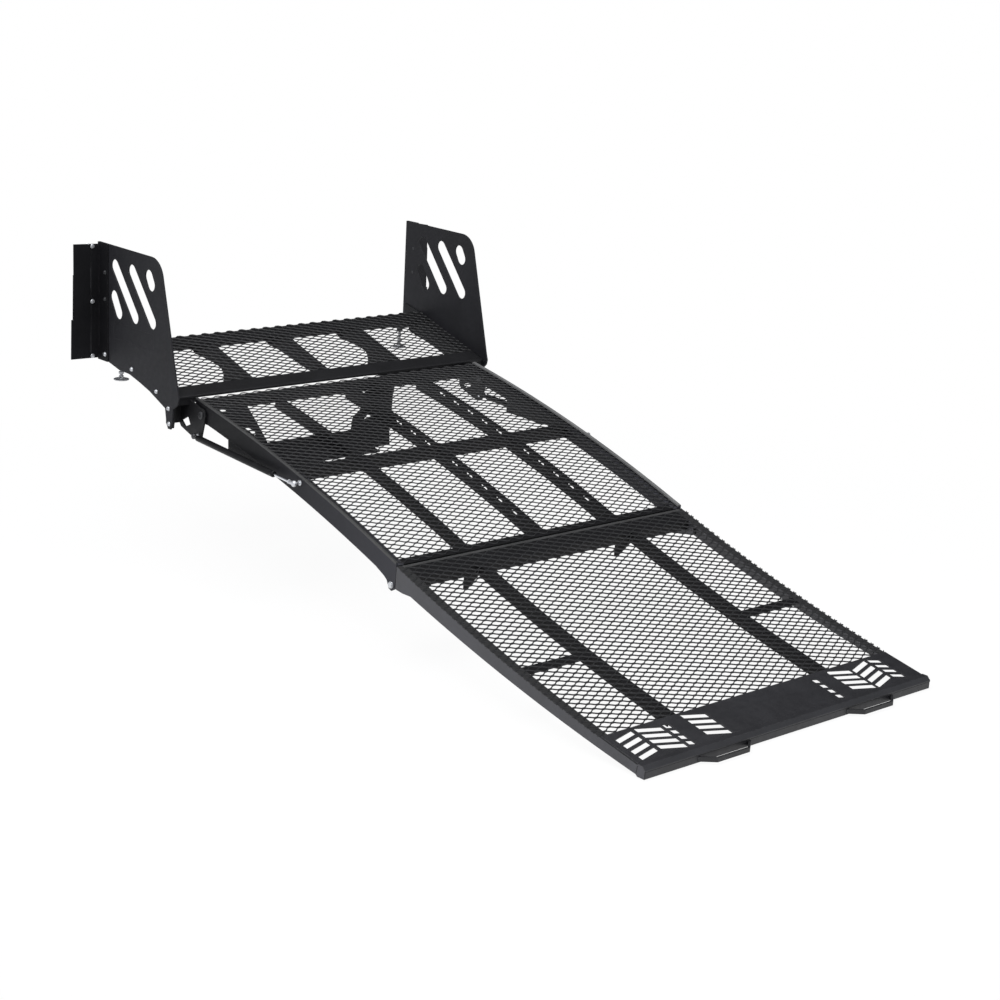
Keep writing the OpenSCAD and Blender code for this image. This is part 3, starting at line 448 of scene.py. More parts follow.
POWDER_COATS = {
    "black_coat": (1.0, {}),
    "post_coat": (0.6, {"gloss": 0.5, "sheen": 0.12}),
    "wing_coat": (1.5, {"gloss": 0.46, "sheen": 0.2}),
    "platform_coat": (0.6, {"gloss": 0.48, "sheen": 0.25}),
    "beam_coat": (1.0, {"gloss": 0.5, "peel": 0.07, "wear_and_highlight": 0.2}),
    "upper_rail_coat": (0.7, {"gloss": 0.36, "wear_and_highlight": 0.9, "edge": 0.0026, "sheen": 0.12,
                              "paler": (-0.95, -1.85)}),
    # Paler grey copies of the coat for the rail lips and the fold strip: painted highlight
    "lip_highlight_coat": (4.0, {"gloss": 0.4, "wear_and_highlight": 1.0, "edge": 0.0015, "grey": True}),
    "bright_lip_highlight_coat": (16.0, {"gloss": 0.4, "wear_and_highlight": 1.0, "edge": 0.0015, "grey": True}),
    # Darker copy of the coat for pieces under the mesh: painted shade
    "under_mesh_shade_coat": (0.45, {"gloss": 0.55, "wear_and_highlight": 0.3, "edge": 0.001, "sheen": 0.15}),
    # Lower rails: a paler copy of the coat on their sides and a darker share elsewhere, painted light and
    # shade
    "lower_rail_coat": (4.2, {"gloss": 0.34, "wear_and_highlight": 0.8, "edge": 0.0022, "sheen": 0.55, "shaded_top_share": 0.4}),
    "end_coat": (1.7, {"gloss": 0.4, "wear_and_highlight": 0.6, "edge": 0.002}),
    "dark_bolt": (1.5, {"gloss": 0.3, "wear_and_highlight": 1.0, "edge": 0.0008}),
    # Dark coat of the strips in the end lip's seams: painted shadow
    "shadow_line_coat": (1.4, {"gloss": 0.75, "peel": 0.3, "wear_and_highlight": 0.1, "sheen": 0.3}),
}
MATERIALS = {}


def new_finish(key):
    """Makes the material of a finish."""
    colours = bpy.context.scene.rack_colours
    if key in POWDER_COATS:
        share, settings = POWDER_COATS[key]
        return powder_coat(key, colours.coat, share, **settings)
    return {
        "mesh_coat": lambda: mesh_coat(key, colours.mesh),
        "zinc": lambda: zinc_plate(key, colours.zinc),
        "dull_zinc": lambda: zinc_plate(key, [c * 0.7 for c in colours.zinc], 0.42),
        "chrome_rod": lambda: chrome_rod(key),
        "strut_black": lambda: gloss_black(key),
        "floor": lambda: floor_paint(key, colours.floor),
    }[key]()


def coat_of(key):
    """One material for each finish, made on first use."""
    if key not in MATERIALS:
        MATERIALS[key] = new_finish(key)
    return MATERIALS[key]


def paint(obj, key):
    obj.data.materials.clear()
    obj.data.materials.append(coat_of(key))


def new_piece(name, bm, key, body, smooth=False):
    """Turns a bmesh into a piece that rides on a body."""
    data = bpy.data.meshes.new(name)
    bmesh.ops.recalc_face_normals(bm, faces=bm.faces)
    bm.to_mesh(data)
    bm.free()
    if smooth:
        data.shade_smooth()
        data.set_sharp_from_angle(angle=math.radians(38))
    obj = bpy.data.objects.new(name, data)
    bpy.context.scene.collection.objects.link(obj)
    paint(obj, key)
    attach(obj, body)
    return obj


def loft(bm, rings, close=(True, True)):
    """Faces from each closed ring of vertices to the next, with the first and the last ring filled."""
    count = len(rings[0])
    for low, high in zip(rings, rings[1:]):
        for i in range(count):
            j = (i + 1) % count
            bm.faces.new((low[i], low[j], high[j], high[i]))
    if close[0]:
        bm.faces.new(rings[0][::-1])
    if close[1]:
        bm.faces.new(rings[-1])


# Expanded metal

def zigzag_points(half, pitch, bond, phase):
    """x and height, 0 or 1, of the bends of one strand across the deck."""
    points = []
    n = int(half / (pitch / 2)) + 2
    for i in range(-n, n + 1):
        x = i * pitch / 2
        high = (i + phase) % 2
        points.append((x - bond / 2, high))
        points.append((x + bond / 2, high))
    out = []
    for (xa, ha), (xb, hb) in zip(points, points[1:]):
        for edge in (-half, half):
            if (xa - edge) * (xb - edge) < 0:
                t = (edge - xa) / (xb - xa)
                out.append((edge, ha + (hb - ha) * t))
        if -half <= xb <= half:
            out.append((xb, hb))
    return sorted(set(out))


def expanded_metal(curve, half, span, top, heavy, sizes):
    """Raised expanded metal: tilted strands that join in flat bonds; heavy widens the strands."""
    bm = bmesh.new()
    start, end = span
    short, bond = sizes.mesh_short, sizes.bond_length
    c, s = math.cos(sizes.strand_tilt), math.sin(sizes.strand_tilt)
    w, t = heavy * sizes.strand_width / 2, sizes.strand_thick / 2
    rise = w * s + t * c
    section = [(-w * c - t * s, -w * s + t * c), (w * c - t * s, w * s + t * c),
               (w * c + t * s, w * s - t * c), (-w * c + t * s, -w * s - t * c)]
    rows = int((end - start) / (short / 2))
    first = start + ((end - start) - rows * short / 2) / 2
    lift = top - rise
    inset = 0.8 * (w * c + t * s)
    for row in range(rows):
        base = first + row * short / 2
        rings = []
        for x, high in zigzag_points(half, sizes.mesh_long, bond, row):
            mid = base + inset + high * (short / 2 - 2 * inset)
            rings.append([bm.verts.new(curve.point(x, mid - a, lift + b)) for a, b in section])
        loft(bm, rings)
    return bm


class RACK_OT_expanded_metal(bpy.types.Operator):
    """Expanded metal decks of the platform and both ramps"""
    bl_idname = "rack.expanded_metal"
    bl_label = "Expanded metal"

    def execute(self, context):
        sizes = context.scene.rack_sizes
        jobs = (("platform_mesh", PLATFORM, PLATFORM_HALF, (-0.004, PLATFORM_LENGTH), 0.0004, 0.92, "frame",
                 "platform_deck"),
                ("upper_mesh", UPPER, UPPER_HALF, (-0.011, UPPER.length - 0.001), -0.0002, 0.86, "upper_ramp",
                 "upper_deck"),
                ("lower_mesh", LOWER, LOWER_HALF, (0.013, LOWER_MESH_END), -0.0002, 1.0, "lower_ramp",
                 "lower_deck"))
        for name, curve, half, span, top, heavy, body, node in jobs:
            bm = expanded_metal(curve, half, span, top, heavy, sizes)
            piece = new_piece(name, bm, "mesh_coat", body)
            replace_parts(piece, node)
        return {"FINISHED"}


# Turned and formed pieces

def axis_frame(place, direction):
    """A frame at place whose z axis points in the direction."""
    turn = Vector(direction).to_track_quat("Z", "Y").to_matrix().to_4x4()
    return Matrix.Translation(place) @ turn


def turned(bm, frame_at, profile, steps=36, close=(True, True)):
    """Turns pairs of radius and height round the z axis; a radius may be a function of the angle."""
    rings = []
    for radius, height in profile:
        ring = []
        for i in range(steps):
            a = 2 * math.pi * i / steps
            r = radius(a) if callable(radius) else radius
            ring.append(bm.verts.new(frame_at @ Vector((r * math.cos(a), r * math.sin(a), height))))
        rings.append(ring)
    loft(bm, rings, close)


def hexagon(flat, cap):
    """Radius of a hexagon, flat from the middle to a side, with its corners cut at cap."""
    return lambda a: min(cap, flat / math.cos((a + math.pi / 6) % (math.pi / 3) - math.pi / 6))


def hex_profile(flat, low, high):
    """A nut or a hexagon head with chamfered corners at both ends."""
    full, cut = hexagon(flat, flat * 1.12), hexagon(flat, flat * 1.02)
    step = (high - low) * 0.12
    return [(flat * 0.9, low), (cut, low + step * 0.4), (full, low + step * 1.6),
            (full, high - step * 1.6), (cut, high - step * 0.4), (flat * 0.9, high)]


def washer_profile(radius, low, high):
    edge = (high - low) * 0.3
    return [(radius - edge, low), (radius, low + edge), (radius, high - edge), (radius - edge, high)]


def threaded(bm, frame_at, radius, low, high, pitch=0.00175):
    """A stud with a helical thread and chamfered ends."""
    depth = 0.55 * pitch
    rings = int((high - low) / pitch * 4)
    profile = [(radius - depth, low)]
    for k in range(1, rings):
        z = low + (high - low) * k / rings
        fade = min(1.0, k / 4, (rings - k) / 4)

        def groove(a, z=z, fade=fade):
            turn = ((z - low) / pitch - a / (2 * math.pi)) % 1.0
            return radius - depth * (1 - fade * (1 - abs(2 * turn - 1)))

        profile.append((groove, z))
    profile.append((radius - depth, high))
    turned(bm, frame_at, profile, 24)


def button_bolt(bm, frame_at, washer, head, height):
    """A button head with a hexagon socket on a washer."""
    base = 0.0016
    turned(bm, frame_at, washer_profile(washer, 0.0, base))
    dome = [(head, base), (head, base + height * 0.25)]
    for k in range(1, 6):
        a = math.radians(15 * k)
        dome.append((head * (0.62 + 0.38 * math.cos(a)), base + height * (0.25 + 0.75 * math.sin(a))))
    key = hexagon(head * 0.36, head * 0.42)
    dome += [(head * 0.46, base + height), (key, base + height - 0.0003), (key, base + height * 0.42)]
    turned(bm, frame_at, dome)


def weld(bm, start, end, radius=0.0028):
    """A bead of ripples from start to end."""
    start, end = Vector(start), Vector(end)
    frame_at = axis_frame(start, end - start)
    length = (end - start).length
    steps = max(4, int(length / 0.0012))
    scale = (1.0, 0.97, 0.86)
    profile = [(radius * 0.35, 0.0)]
    for k in range(1, steps):
        profile.append((radius * scale[k % 3], length * k / steps))
    profile.append((radius * 0.35, length))
    turned(bm, frame_at, profile, 8)


def bar_between(bm, outline, x0, x1):
    """A closed outline of y and z pairs, drawn out from x0 to x1."""
    loft(bm, [[bm.verts.new((x, y, z)) for y, z in outline] for x in (x0, x1)])


def plate_facing(bm, outline, y0, y1):
    """A closed outline of x and z pairs, drawn out from y0 to y1."""
    loft(bm, [[bm.verts.new((x, y, z)) for x, z in outline] for y in (y0, y1)])


def mirrored(side, outline):
    """Pairs of x and z, on one side of the middle."""
    return [(side * x, z) for x, z in outline]


def on_side(side, x, yz, out=1):
    """A frame at a point of the side plane, pointing away from the middle, or towards it."""
    return axis_frame((side * x, yz[0], yz[1]), (side * out, 0, 0))


SIDES = (("left", -1), ("right", 1))


class RACK_OT_fasteners(bpy.types.Operator):
    """Bolts, nuts and pins of the wings, posts and hinges"""
    bl_idname = "rack.fasteners"
    bl_label = "Fasteners"

    def execute(self, context):
        self.post_bolts()
        self.wing_bolts()
        self.pins()
        return {"FINISHED"}

    def post_bolts(self):
        bm = bmesh.new()
        for _, side in SIDES:
            for z in (-POST_BOLT_Z, 0.0, POST_BOLT_Z):
                front = axis_frame((side * POST_BOLT_X, -POST_FACE, z), (0, -1, 0))
                turned(bm, front, washer_profile(0.0085, 0.0, 0.0018))
                turned(bm, front, hex_profile(0.0064, 0.0018, 0.0065))
                turned(bm, front, [(0.006, -0.0094), (0.006, 0.002)])
                back = axis_frame((side * POST_BOLT_X, 0.0002, z), (0, 1, 0))
                threaded(bm, back, 0.006, 0.0, 0.0278)
        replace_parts(new_piece("post_bolt_set", bm, "zinc", "frame", True), "post_bolts")

    def wing_bolts(self):
        bright, dark = bmesh.new(), bmesh.new()
        for _, side in SIDES:
            for place, outside, inside, seam in WING_BOLTS:
                bm = dark if seam else bright
                face, back = WING_OUT + outside, WING_IN - inside
                button_bolt(bm, on_side(side, face, place), 0.009, 0.0074, 0.0044)
                inner = on_side(side, back, place, -1)
                if seam:
                    turned(bm, inner, [(0.0058, -0.0004), (0.0058, 0.0004), (0.0052, 0.0009)])
                else:
                    turned(bm, inner, hex_profile(0.0061, 0.0, 0.007))
                    threaded(bm, inner, 0.0045, 0.006, 0.0085, 0.00125)
                turned(bm, on_side(side, back, place), [(0.0045, 0.0), (0.0045, face - back)], 20)
        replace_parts(new_piece("wing_bolt_set", bright, "zinc", "frame", True), "wing_bolts")
        new_piece("post_seam_bolts", dark, "dark_bolt", "frame", True)

    def pins(self):
        bm = bmesh.new()
        for _, side in SIDES:
            out = on_side(side, RAIL_IN - 0.012, LIFT_PIVOT)
            turned(bm, out, [(0.0092, 0.0), (0.01, 0.0008), (0.01, 0.027)])
            turned(bm, out, [(0.015, 0.027), (0.015, 0.0302), (0.0143, 0.0314), (0.0128, 0.032),
                             (0.006, 0.032), (0.005, 0.031), (0.005, 0.029)])
            turned(bm, out, hex_profile(0.0135, 0.0004, 0.0036))
        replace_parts(new_piece("lift_pin_set", bm, "dark_bolt", "frame", True), "lift_pins")
        bm = bmesh.new()
        for _, side in SIDES:
            out = on_side(side, RAIL_IN - 0.03, FOLD_PIVOT)
            turned(bm, out, [(0.0072, 0.0), (0.008, 0.0008), (0.008, 0.037)])
            turned(bm, out, washer_profile(0.012, 0.036, 0.0378))
            turned(bm, out, hex_profile(0.0098, 0.0378, 0.0422))
        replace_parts(new_piece("fold_pin_set", bm, "zinc", "upper_ramp", True), "fold_pins")


class RACK_OT_posts(bpy.types.Operator):
    """Post plates that bolt to the truck, and the bar behind the rear beam's lip"""
    bl_idname = "rack.posts"
    bl_label = "Posts"

    def execute(self, context):
        for name, side in SIDES:
            bm = bmesh.new()
            self.post(bm, side, *POST_TOPS[name])
            key = "post_coat" if side < 0 else "wing_coat"
            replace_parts(new_piece(name + "_post_plate", bm, key, "frame"), name + "_post")
        self.rear_lip()
        return {"FINISHED"}

    def post(self, bm, side, inner_top, outer_top):
        """A flange on the truck, a leg on the wing, and a doubler strip with its welds."""
        flange = [(WING_OUT, -0.224), (WING_OUT, inner_top), (POST_EDGE[0][0], outer_top)]
        plate_facing(bm, mirrored(side, flange + list(POST_EDGE)), -PLATE, 0.0)
        inside = WING_OUT + PLATE
        bar_between(bm, POST_LEG, side * WING_OUT, side * inside)
        low, top = -0.222, min(0.2195, inner_top - 0.002)
        doubler = [(inside, low), (inside, top), (DOUBLER_OUT - 0.003, top - 0.001),
                   (DOUBLER_OUT, top - 0.004), (DOUBLER_OUT, low + 0.003), (DOUBLER_OUT - 0.003, low)]
        plate_facing(bm, mirrored(side, doubler), -POST_FACE, -PLATE)
        for start, end in POST_WELDS:
            weld(bm, (side * DOUBLER_OUT, -0.0052, start), (side * DOUBLER_OUT, -0.0052, end), 0.002)

    def rear_lip(self):
        bm = bmesh.new()
        back, front = REAR_LIP_Y
        plate_facing(bm, REAR_LIP, back, front)
        for _, side in SIDES:
            plate_facing(bm, mirrored(side, REAR_TAB), back + 0.0003, front - 0.0003)
        new_piece("rear_lip_bar", bm, "platform_coat", "frame")


class RACK_OT_ribs(bpy.types.Operator):
    """Front band, ribs and side legs under the platform deck"""
    bl_idname = "rack.ribs"
    bl_label = "Platform ribs"

    def execute(self, context):
        under = DECK_LOW - PLATE
        half = WING_IN - 0.001 - PLATE
        bm = bmesh.new()
        self.bar(bm, [(0.0, DECK_LOW), (0.0, under - BAND_LEG), (PLATE, under - BAND_LEG), (PLATE, under),
                      (FRONT_BAND, under), (FRONT_BAND, DECK_LOW)], -half, half)
        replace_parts(new_piece("front_band", bm, "under_mesh_shade_coat", "frame"), "platform_front_beam")
        for name, x, flange, web in RIBS:
            bm = bmesh.new()
            self.bar(bm, [(FRONT_BAND, DECK_LOW), (FRONT_BAND, under), (RIB_END, under), (RIB_END, DECK_LOW)],
                     x, x + flange)
            self.web(bm, web, x)
            self.gusset(bm, x)
            for s in RIB_WELDS:
                end = s + RIB_WELD_LENGTH
                weld(bm, PLATFORM.point(x + PLATE, s, under), PLATFORM.point(x + PLATE, end, under))
            piece = new_piece("platform_rib_" + name, bm, "under_mesh_shade_coat", "frame")
            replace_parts(piece, "platform_stringer_" + name)
        bm = bmesh.new()
        for _, side in SIDES:
            self.web(bm, SIDE_WEB, side * SIDE_LEG_X - (PLATE if side > 0 else 0.0))
        new_piece("platform_side_legs", bm, "under_mesh_shade_coat", "frame")
        return {"FINISHED"}

    def bar(self, bm, outline, x0, x1):
        places = [PLATFORM.point(0.0, s, lift) for s, lift in outline]
        bar_between(bm, [(place.y, place.z) for place in places], x0, x1)

    def gusset(self, bm, x):
        """A corner plate between a rib and the front band's leg."""
        loft(bm, [[bm.verts.new(PLATFORM.point(x + out, s, DECK_LOW - depth)) for out, depth in RIB_GUSSET]
                  for s in (0.0005, PLATE)])

    def web(self, bm, lower, x):
        top = DECK_LOW - PLATE
        outline = [(lower[-1][0], top), (lower[0][0], top)] + [(s, DECK_LOW - depth) for s, depth in lower]
        self.bar(bm, outline, x, x + PLATE)


class RACK_OT_ramp_plates(bpy.types.Operator):
    """Corner gusset, rail lips and strut gussets of the upper ramp, and the lower ramp's edge at the fold"""
    bl_idname = "rack.ramp_plates"
    bl_label = "Ramp plates"

    def execute(self, context):
        self.corner_gusset()
        bm = bmesh.new()
        rows = [(s, -FOLD_STRIP_HALF, FOLD_STRIP_HALF) for s in FOLD_STRIP_ENDS]
        self.strip(bm, LOWER, rows, *FOLD_STRIP)
        # The fold strip is paler grey: painted highlight
        new_piece("fold_edge_strip", bm, "lip_highlight_coat", "lower_ramp")
        struts = bmesh.new()
        for name, side in SIDES:
            self.rail_lip_highlight(name, side)
            bar_between(struts, STRUT_GUSSET, side * (RAIL_IN + 0.0015), side * (RAIL_OUT - 0.0015))
        new_piece("strut_gussets", struts, "platform_coat", "upper_ramp")
        return {"FINISHED"}

    def corner_gusset(self):
        """A plate with a straight diagonal inner edge, and a narrow one that meets the cross beam."""
        bm = bmesh.new()
        start = GUSSET_EDGE[0][0]
        rows = [(s, -outer, -GUSSET_IN - (s - start) * GUSSET_LEAN) for s, outer in GUSSET_EDGE]
        self.strip(bm, UPPER, rows, *UNDER_MESH)
        self.strip(bm, UPPER, [(s, -FLANGE_IN, -FILLER_IN) for s in FILLER_ENDS], *UNDER_MESH)
        new_piece("upper_corner_gusset", bm, "under_mesh_shade_coat", "upper_ramp")

    # A paler grey strip along the rail's top: painted highlight
    def rail_lip_highlight(self, name, side):
        inner, key = LIPS[name]
        count = 24
        steps = [0.002 + (UPPER.length - 0.004) * i / count for i in range(count + 1)]
        bm = bmesh.new()
        self.strip(bm, UPPER, [(s, side * LIP_OUT, side * inner) for s in steps], *RAIL_LIP)
        new_piece(name + "_rail_lip_highlight", bm, key, "upper_ramp")

    def strip(self, bm, curve, rows, low, high):
        """A flat plate along a ramp's deck between two edges, from low to high above it."""
        loft(bm, [[bm.verts.new(curve.point(x, s, lift)) for x, lift in
                   ((outer, low), (outer, high), (inner, high), (inner, low))] for s, outer, inner in rows])


class RACK_OT_feet(bpy.types.Operator):
    """Levelling feet under the platform"""
    bl_idname = "rack.feet"
    bl_label = "Levelling feet"

    def execute(self, context):
        for name, side in SIDES:
            up = axis_frame((side * FOOT_AT[0], FOOT_AT[1], FOOT_BASE), (0, 0, 1))
            bm = bmesh.new()
            turned(bm, up, [(0.029, 0.0), (0.03, 0.0008), (0.03, 0.0034), (0.0292, 0.0042), (0.016, 0.0056),
                            (0.0125, 0.009), (0.0085, 0.0128), (0.0062, 0.0136)])
            turned(bm, up, hex_profile(0.0094, 0.024, 0.033))
            turned(bm, up, hex_profile(0.008, 0.0128, 0.0182))
            threaded(bm, up, 0.006, 0.008, FOOT_TOP - FOOT_BASE, 0.002)
            body = "foot_" + name[0]
            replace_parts(new_piece(name + "_foot_screw", bm, "dull_zinc", body, True), name + "_foot")
        return {"FINISHED"}


class RACK_OT_struts(bpy.types.Operator):
    """Gas struts with their ball sockets"""
    bl_idname = "rack.struts"
    bl_label = "Gas struts"

    def execute(self, context):
        for name, side in SIDES:
            top = Vector((side * STRUT_X,) + STRUT_TOP)
            foot = Vector((side * STRUT_X,) + STRUT_FOOT)
            self.tube(name, side, axis_frame(top, foot - top))
            self.rod(name, side, axis_frame(foot, top - foot))
        return {"FINISHED"}

    def socket(self, bm, side, place):
        """Ball socket on the pivot with its stem along the strut."""
        turned(bm, on_side(side, STRUT_X, place), [
            (0.0064, -0.006), (0.0096, -0.006), (0.0108, -0.005), (0.011, 0.002), (0.0102, 0.0048),
            (0.0078, 0.0066), (0.004, 0.0074)], close=(False, True))

    def tube(self, name, side, down):
        bm = bmesh.new()
        turned(bm, down, [
            (0.0064, 0.018), (0.0085, 0.0215), (0.0108, 0.0245), (0.0118, 0.0285), (0.012, 0.034),
            (0.012, 0.5), (0.01165, 0.5012), (0.0113, 0.503), (0.01165, 0.5048), (0.012, 0.506),
            (0.012, 0.5145), (0.0116, 0.5172), (0.0105, 0.5192), (0.0078, 0.52), (0.0054, 0.52),
            (0.0054, 0.44)], close=(True, False))
        body = "strut_tube_" + name[0]
        tube = new_piece(name + "_strut_tube", bm, "strut_black", body, True)
        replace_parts(tube, name + "_strut_cylinder")
        bm = bmesh.new()
        self.socket(bm, side, STRUT_TOP)
        turned(bm, down, [(0.0065, 0.004), (0.0068, 0.012), (0.0066, 0.019)])
        turned(bm, down, hex_profile(0.0072, 0.0125, 0.018))
        new_piece(name + "_strut_top_socket", bm, "dark_bolt", body, True)

    def rod(self, name, side, up):
        bm = bmesh.new()
        turned(bm, up, [(0.005, 0.02), (0.005, 0.4492), (0.0044, 0.45)])
        body = "strut_rod_" + name[0]
        rod = new_piece(name + "_strut_piston_rod", bm, "chrome_rod", body, True)
        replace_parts(rod, name + "_strut_rod")
        bm = bmesh.new()
        self.socket(bm, side, STRUT_FOOT)
        turned(bm, up, [(0.0062, 0.006), (0.007, 0.0105), (0.007, 0.0235), (0.0062, 0.0255)])
        turned(bm, up, hex_profile(0.0078, 0.0255, 0.0305))
        stud = on_side(side, RAIL_OUT + 0.0064, STRUT_FOOT)
        turned(bm, stud, [(0.0048, 0.0), (0.005, 0.0004), (0.005, 0.0236)])
        new_piece(name + "_strut_foot_socket", bm, "zinc", body, True)


class RACK_OT_welds(bpy.types.Operator):
    """Weld beads where beams, rails, lugs and handles meet"""
    bl_idname = "rack.welds"
    bl_label = "Weld beads"

    def execute(self, context):
        self.upper()
        self.lower()
        self.fixed()
        return {"FINISHED"}

    def drop(self, bm, curve, s, x, top, low):
        """A bead down a joint across the deck line."""
        weld(bm, curve.point(x, s, -top), curve.point(x, s, -low))

    def upper(self):
        bm = bmesh.new()
        end = UPPER.length
        beside_rails = ((0.0018, 0.03, 0.0085), (0.0462, 0.034, 0.0085), (0.6042, 0.062, 0.0005),
                        (end - 0.03, 0.046, 0.0005))
        stringers = (-0.3475, -0.013, 0.345)
        beam_faces = (0.0478, 0.603, 0.629, end - 0.032)
        for _, side in SIDES:
            for s, low, gap in beside_rails:
                self.drop(bm, UPPER, s, side * (RAIL_IN - gap), 0.012, low)
            weld(bm, (side * RAIL_IN, LIFT_PIVOT[0] + 0.022, LIFT_PIVOT[1] + 0.004),
                 (side * RAIL_IN, LIFT_PIVOT[0] + 0.022, LIFT_PIVOT[1] + 0.03), 0.0024)
        for x in stringers:
            for s in beam_faces:
                self.drop(bm, UPPER, s, x, 0.012, 0.046)
        new_piece("upper_welds", bm, "beam_coat", "upper_ramp", True)

    def lower(self):
        bm = bmesh.new()
        head_front, head_back, cross_bar = 0.0072, 0.0812, 0.6335
        stringer_sides = (0.349, 0.383)
        for _, side in SIDES:
            self.drop(bm, LOWER, head_front, side * (RAIL_IN - 0.0005), 0.012, 0.04)
            self.drop(bm, LOWER, cross_bar, side * (RAIL_IN - 0.0005), 0.012, 0.032)
            for x in stringer_sides:
                self.drop(bm, LOWER, head_back, side * x, 0.01, 0.04)
            self.drop(bm, LOWER, cross_bar, side * 0.3825, 0.012, 0.032)
            end = LOWER.point(side * RAIL_OUT, LOWER.length, -0.006)
            foot = LOWER.point(side * RAIL_OUT, LOWER.length, -0.034)
            weld(bm, end, foot, 0.0022)
        front = LOWER.point(0.0, LOWER.length).y - 0.0002 - TUBE_DEPTH
        for x, width in HANDLES:
            for foot in (-width / 2 + 0.003, width / 2 - 0.003):
                weld(bm, (x + foot, front, -0.9415), (x + foot, front, -0.9275), 0.0045)
        new_piece("lower_welds", bm, "end_coat", "lower_ramp", True)

    def fixed(self):
        bm = bmesh.new()
        beside_wings = ((0.0052, 0.05), (0.08, 0.044), (0.3792, 0.04))
        bracket_edges = ((0.695, -0.318), (0.7465, -0.324))
        for _, side in SIDES:
            for s, low in beside_wings:
                self.drop(bm, PLATFORM, s, side * (WING_IN - 0.0052), 0.012, low)
            wing = side * (WING_IN - PLATE)
            weld(bm, (wing, -0.081, -0.222), (wing, -0.033, -0.222))
            for x, top in bracket_edges:
                weld(bm, (side * x, -0.4765, top), (side * x, -0.4765, -0.384), 0.0024)
        new_piece("platform_welds", bm, "platform_coat", "frame", True)


class RACK_OT_end_trim(bpy.types.Operator):
    """Folded lip along the ground end and the plates that close its tube"""
    bl_idname = "rack.end_trim"
    bl_label = "End trim"

    def execute(self, context):
        line = LOWER.point(0.0, LOWER.length)
        back, top = line.y - 0.0002, line.z - 0.001
        front = back - TUBE_DEPTH
        bevel, sheet = TUBE_BEVEL, 0.0018
        low = top - bevel - 0.003
        lip = bmesh.new()
        bar_between(lip, [(back + 0.003, top + sheet), (front + bevel - 0.0008, top + sheet),
                          (front - sheet, top - bevel + 0.0008), (front - sheet, low), (front - 0.0002, low),
                          (front - 0.0002, top - bevel), (front + bevel, top + 0.0002),
                          (back + 0.003, top + 0.0002)], -RAIL_OUT - 0.0006, RAIL_OUT + 0.0006)
        new_piece("end_lip", lip, "end_coat", "lower_ramp")
        # Two dark strips, one under the lip where it shades the tube and one where the lip meets the plate:
        # painted shadow lines
        seam = bmesh.new()
        bar_between(seam, [(front - 0.0012, low + 0.0004), (front - 0.0012, low - 0.0022),
                           (front + 0.0004, low - 0.003), (front + 0.0004, low + 0.0004)],
                    -RAIL_OUT, RAIL_OUT)
        bar_between(seam, [(back + 0.0028, top + sheet * 0.9), (back + 0.0054, top + 0.0013),
                           (back + 0.0054, top - 0.0004), (back + 0.0028, top - 0.0004)],
                    -RAIL_OUT + 0.003, RAIL_OUT - 0.003)
        new_piece("end_lip_shadow_lines", seam, "shadow_line_coat", "lower_ramp")
        cap = bmesh.new()
        rail_top = LOWER.point(0.0, LOWER.length, -0.0045)
        rail_foot = LOWER.point(0.0, LOWER.length, -0.036)
        outline = [(front, TUBE_LOW), (back, TUBE_LOW), (rail_foot.y, rail_foot.z), (rail_top.y, rail_top.z),
                   (back, top), (front + bevel, top), (front, top - bevel)]
        for _, side in SIDES:
            bar_between(cap, outline, side * (RAIL_OUT - 0.0035), side * (RAIL_OUT + 0.0004))
        new_piece("tube_end_plates", cap, "lower_rail_coat", "lower_ramp")
        return {"FINISHED"}


# Finishes of the CAD nodes

NODE_FINISH = {
    "upper_rail_coat": ("upper_rail_left", "upper_rail_right"),
    "lower_rail_coat": ("lower_rail_left", "lower_rail_right"),
    "wing_coat": ("left_wing", "right_wing"),
    "platform_coat": ("left_side_rail", "right_side_rail", "left_hinge_bracket", "right_hinge_bracket",
                      "platform_rear_beam"),
    "end_coat": ("lower_end_tube", "lower_end_plate"),
    "black_coat": ("left_handle", "right_handle"),
    # Pieces under the mesh take the darker copy of the coat: painted shade
    "under_mesh_shade_coat": ("upper_head_beam", "upper_cross_beam", "upper_end_beam", "upper_stringer_left",
                   "upper_stringer_centre", "upper_stringer_right", "upper_plate_carrier",
                   "upper_carrier_stay", "lower_head_beam", "lower_stringer_left", "lower_stringer_right",
                   "lower_cross_bars", "stop_lugs"),
    "beam_coat": ("foot_brackets", "upper_hinge_ears", "fold_knuckles"),
    "zinc": ("strut_anchor_studs", "strut_rail_studs"),
}


class RACK_OT_finishes(bpy.types.Operator):
    """Finishes of the steel pieces that come from the CAD model"""
    bl_idname = "rack.finishes"
    bl_label = "Finishes"

    def execute(self, context):
        for key, names in NODE_FINISH.items():
            for name in names:
                paint(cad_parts[name], key)
        return {"FINISHED"}


# Stage

CAMERA_PLACE = Vector((-4.8123, -6.8837, 1.4685))
CAMERA_FORWARD = Vector((0.64438, 0.71588, -0.26886))
CAMERA_UP = Vector((0.13998, 0.23523, 0.96181))
CAMERA_LENS = 73.69
FLOOR_Z = -0.9505
# The studio is dark on this side, as in a product photograph with its light in front
DARK_SIDE = (0.62, 0.75, 0.23)


def add_lamp(name, place, target, size, power):
    lamp = bpy.data.lights.new(name, "AREA")
    lamp.shape = "RECTANGLE"
    lamp.size, lamp.size_y = size
    lamp.energy = power
    obj = bpy.data.objects.new(name, lamp)
    obj.location = place
    obj.rotation_euler = (Vector(target) - Vector(place)).to_track_quat("-Z", "Y").to_euler()
    bpy.context.scene.collection.objects.link(obj)


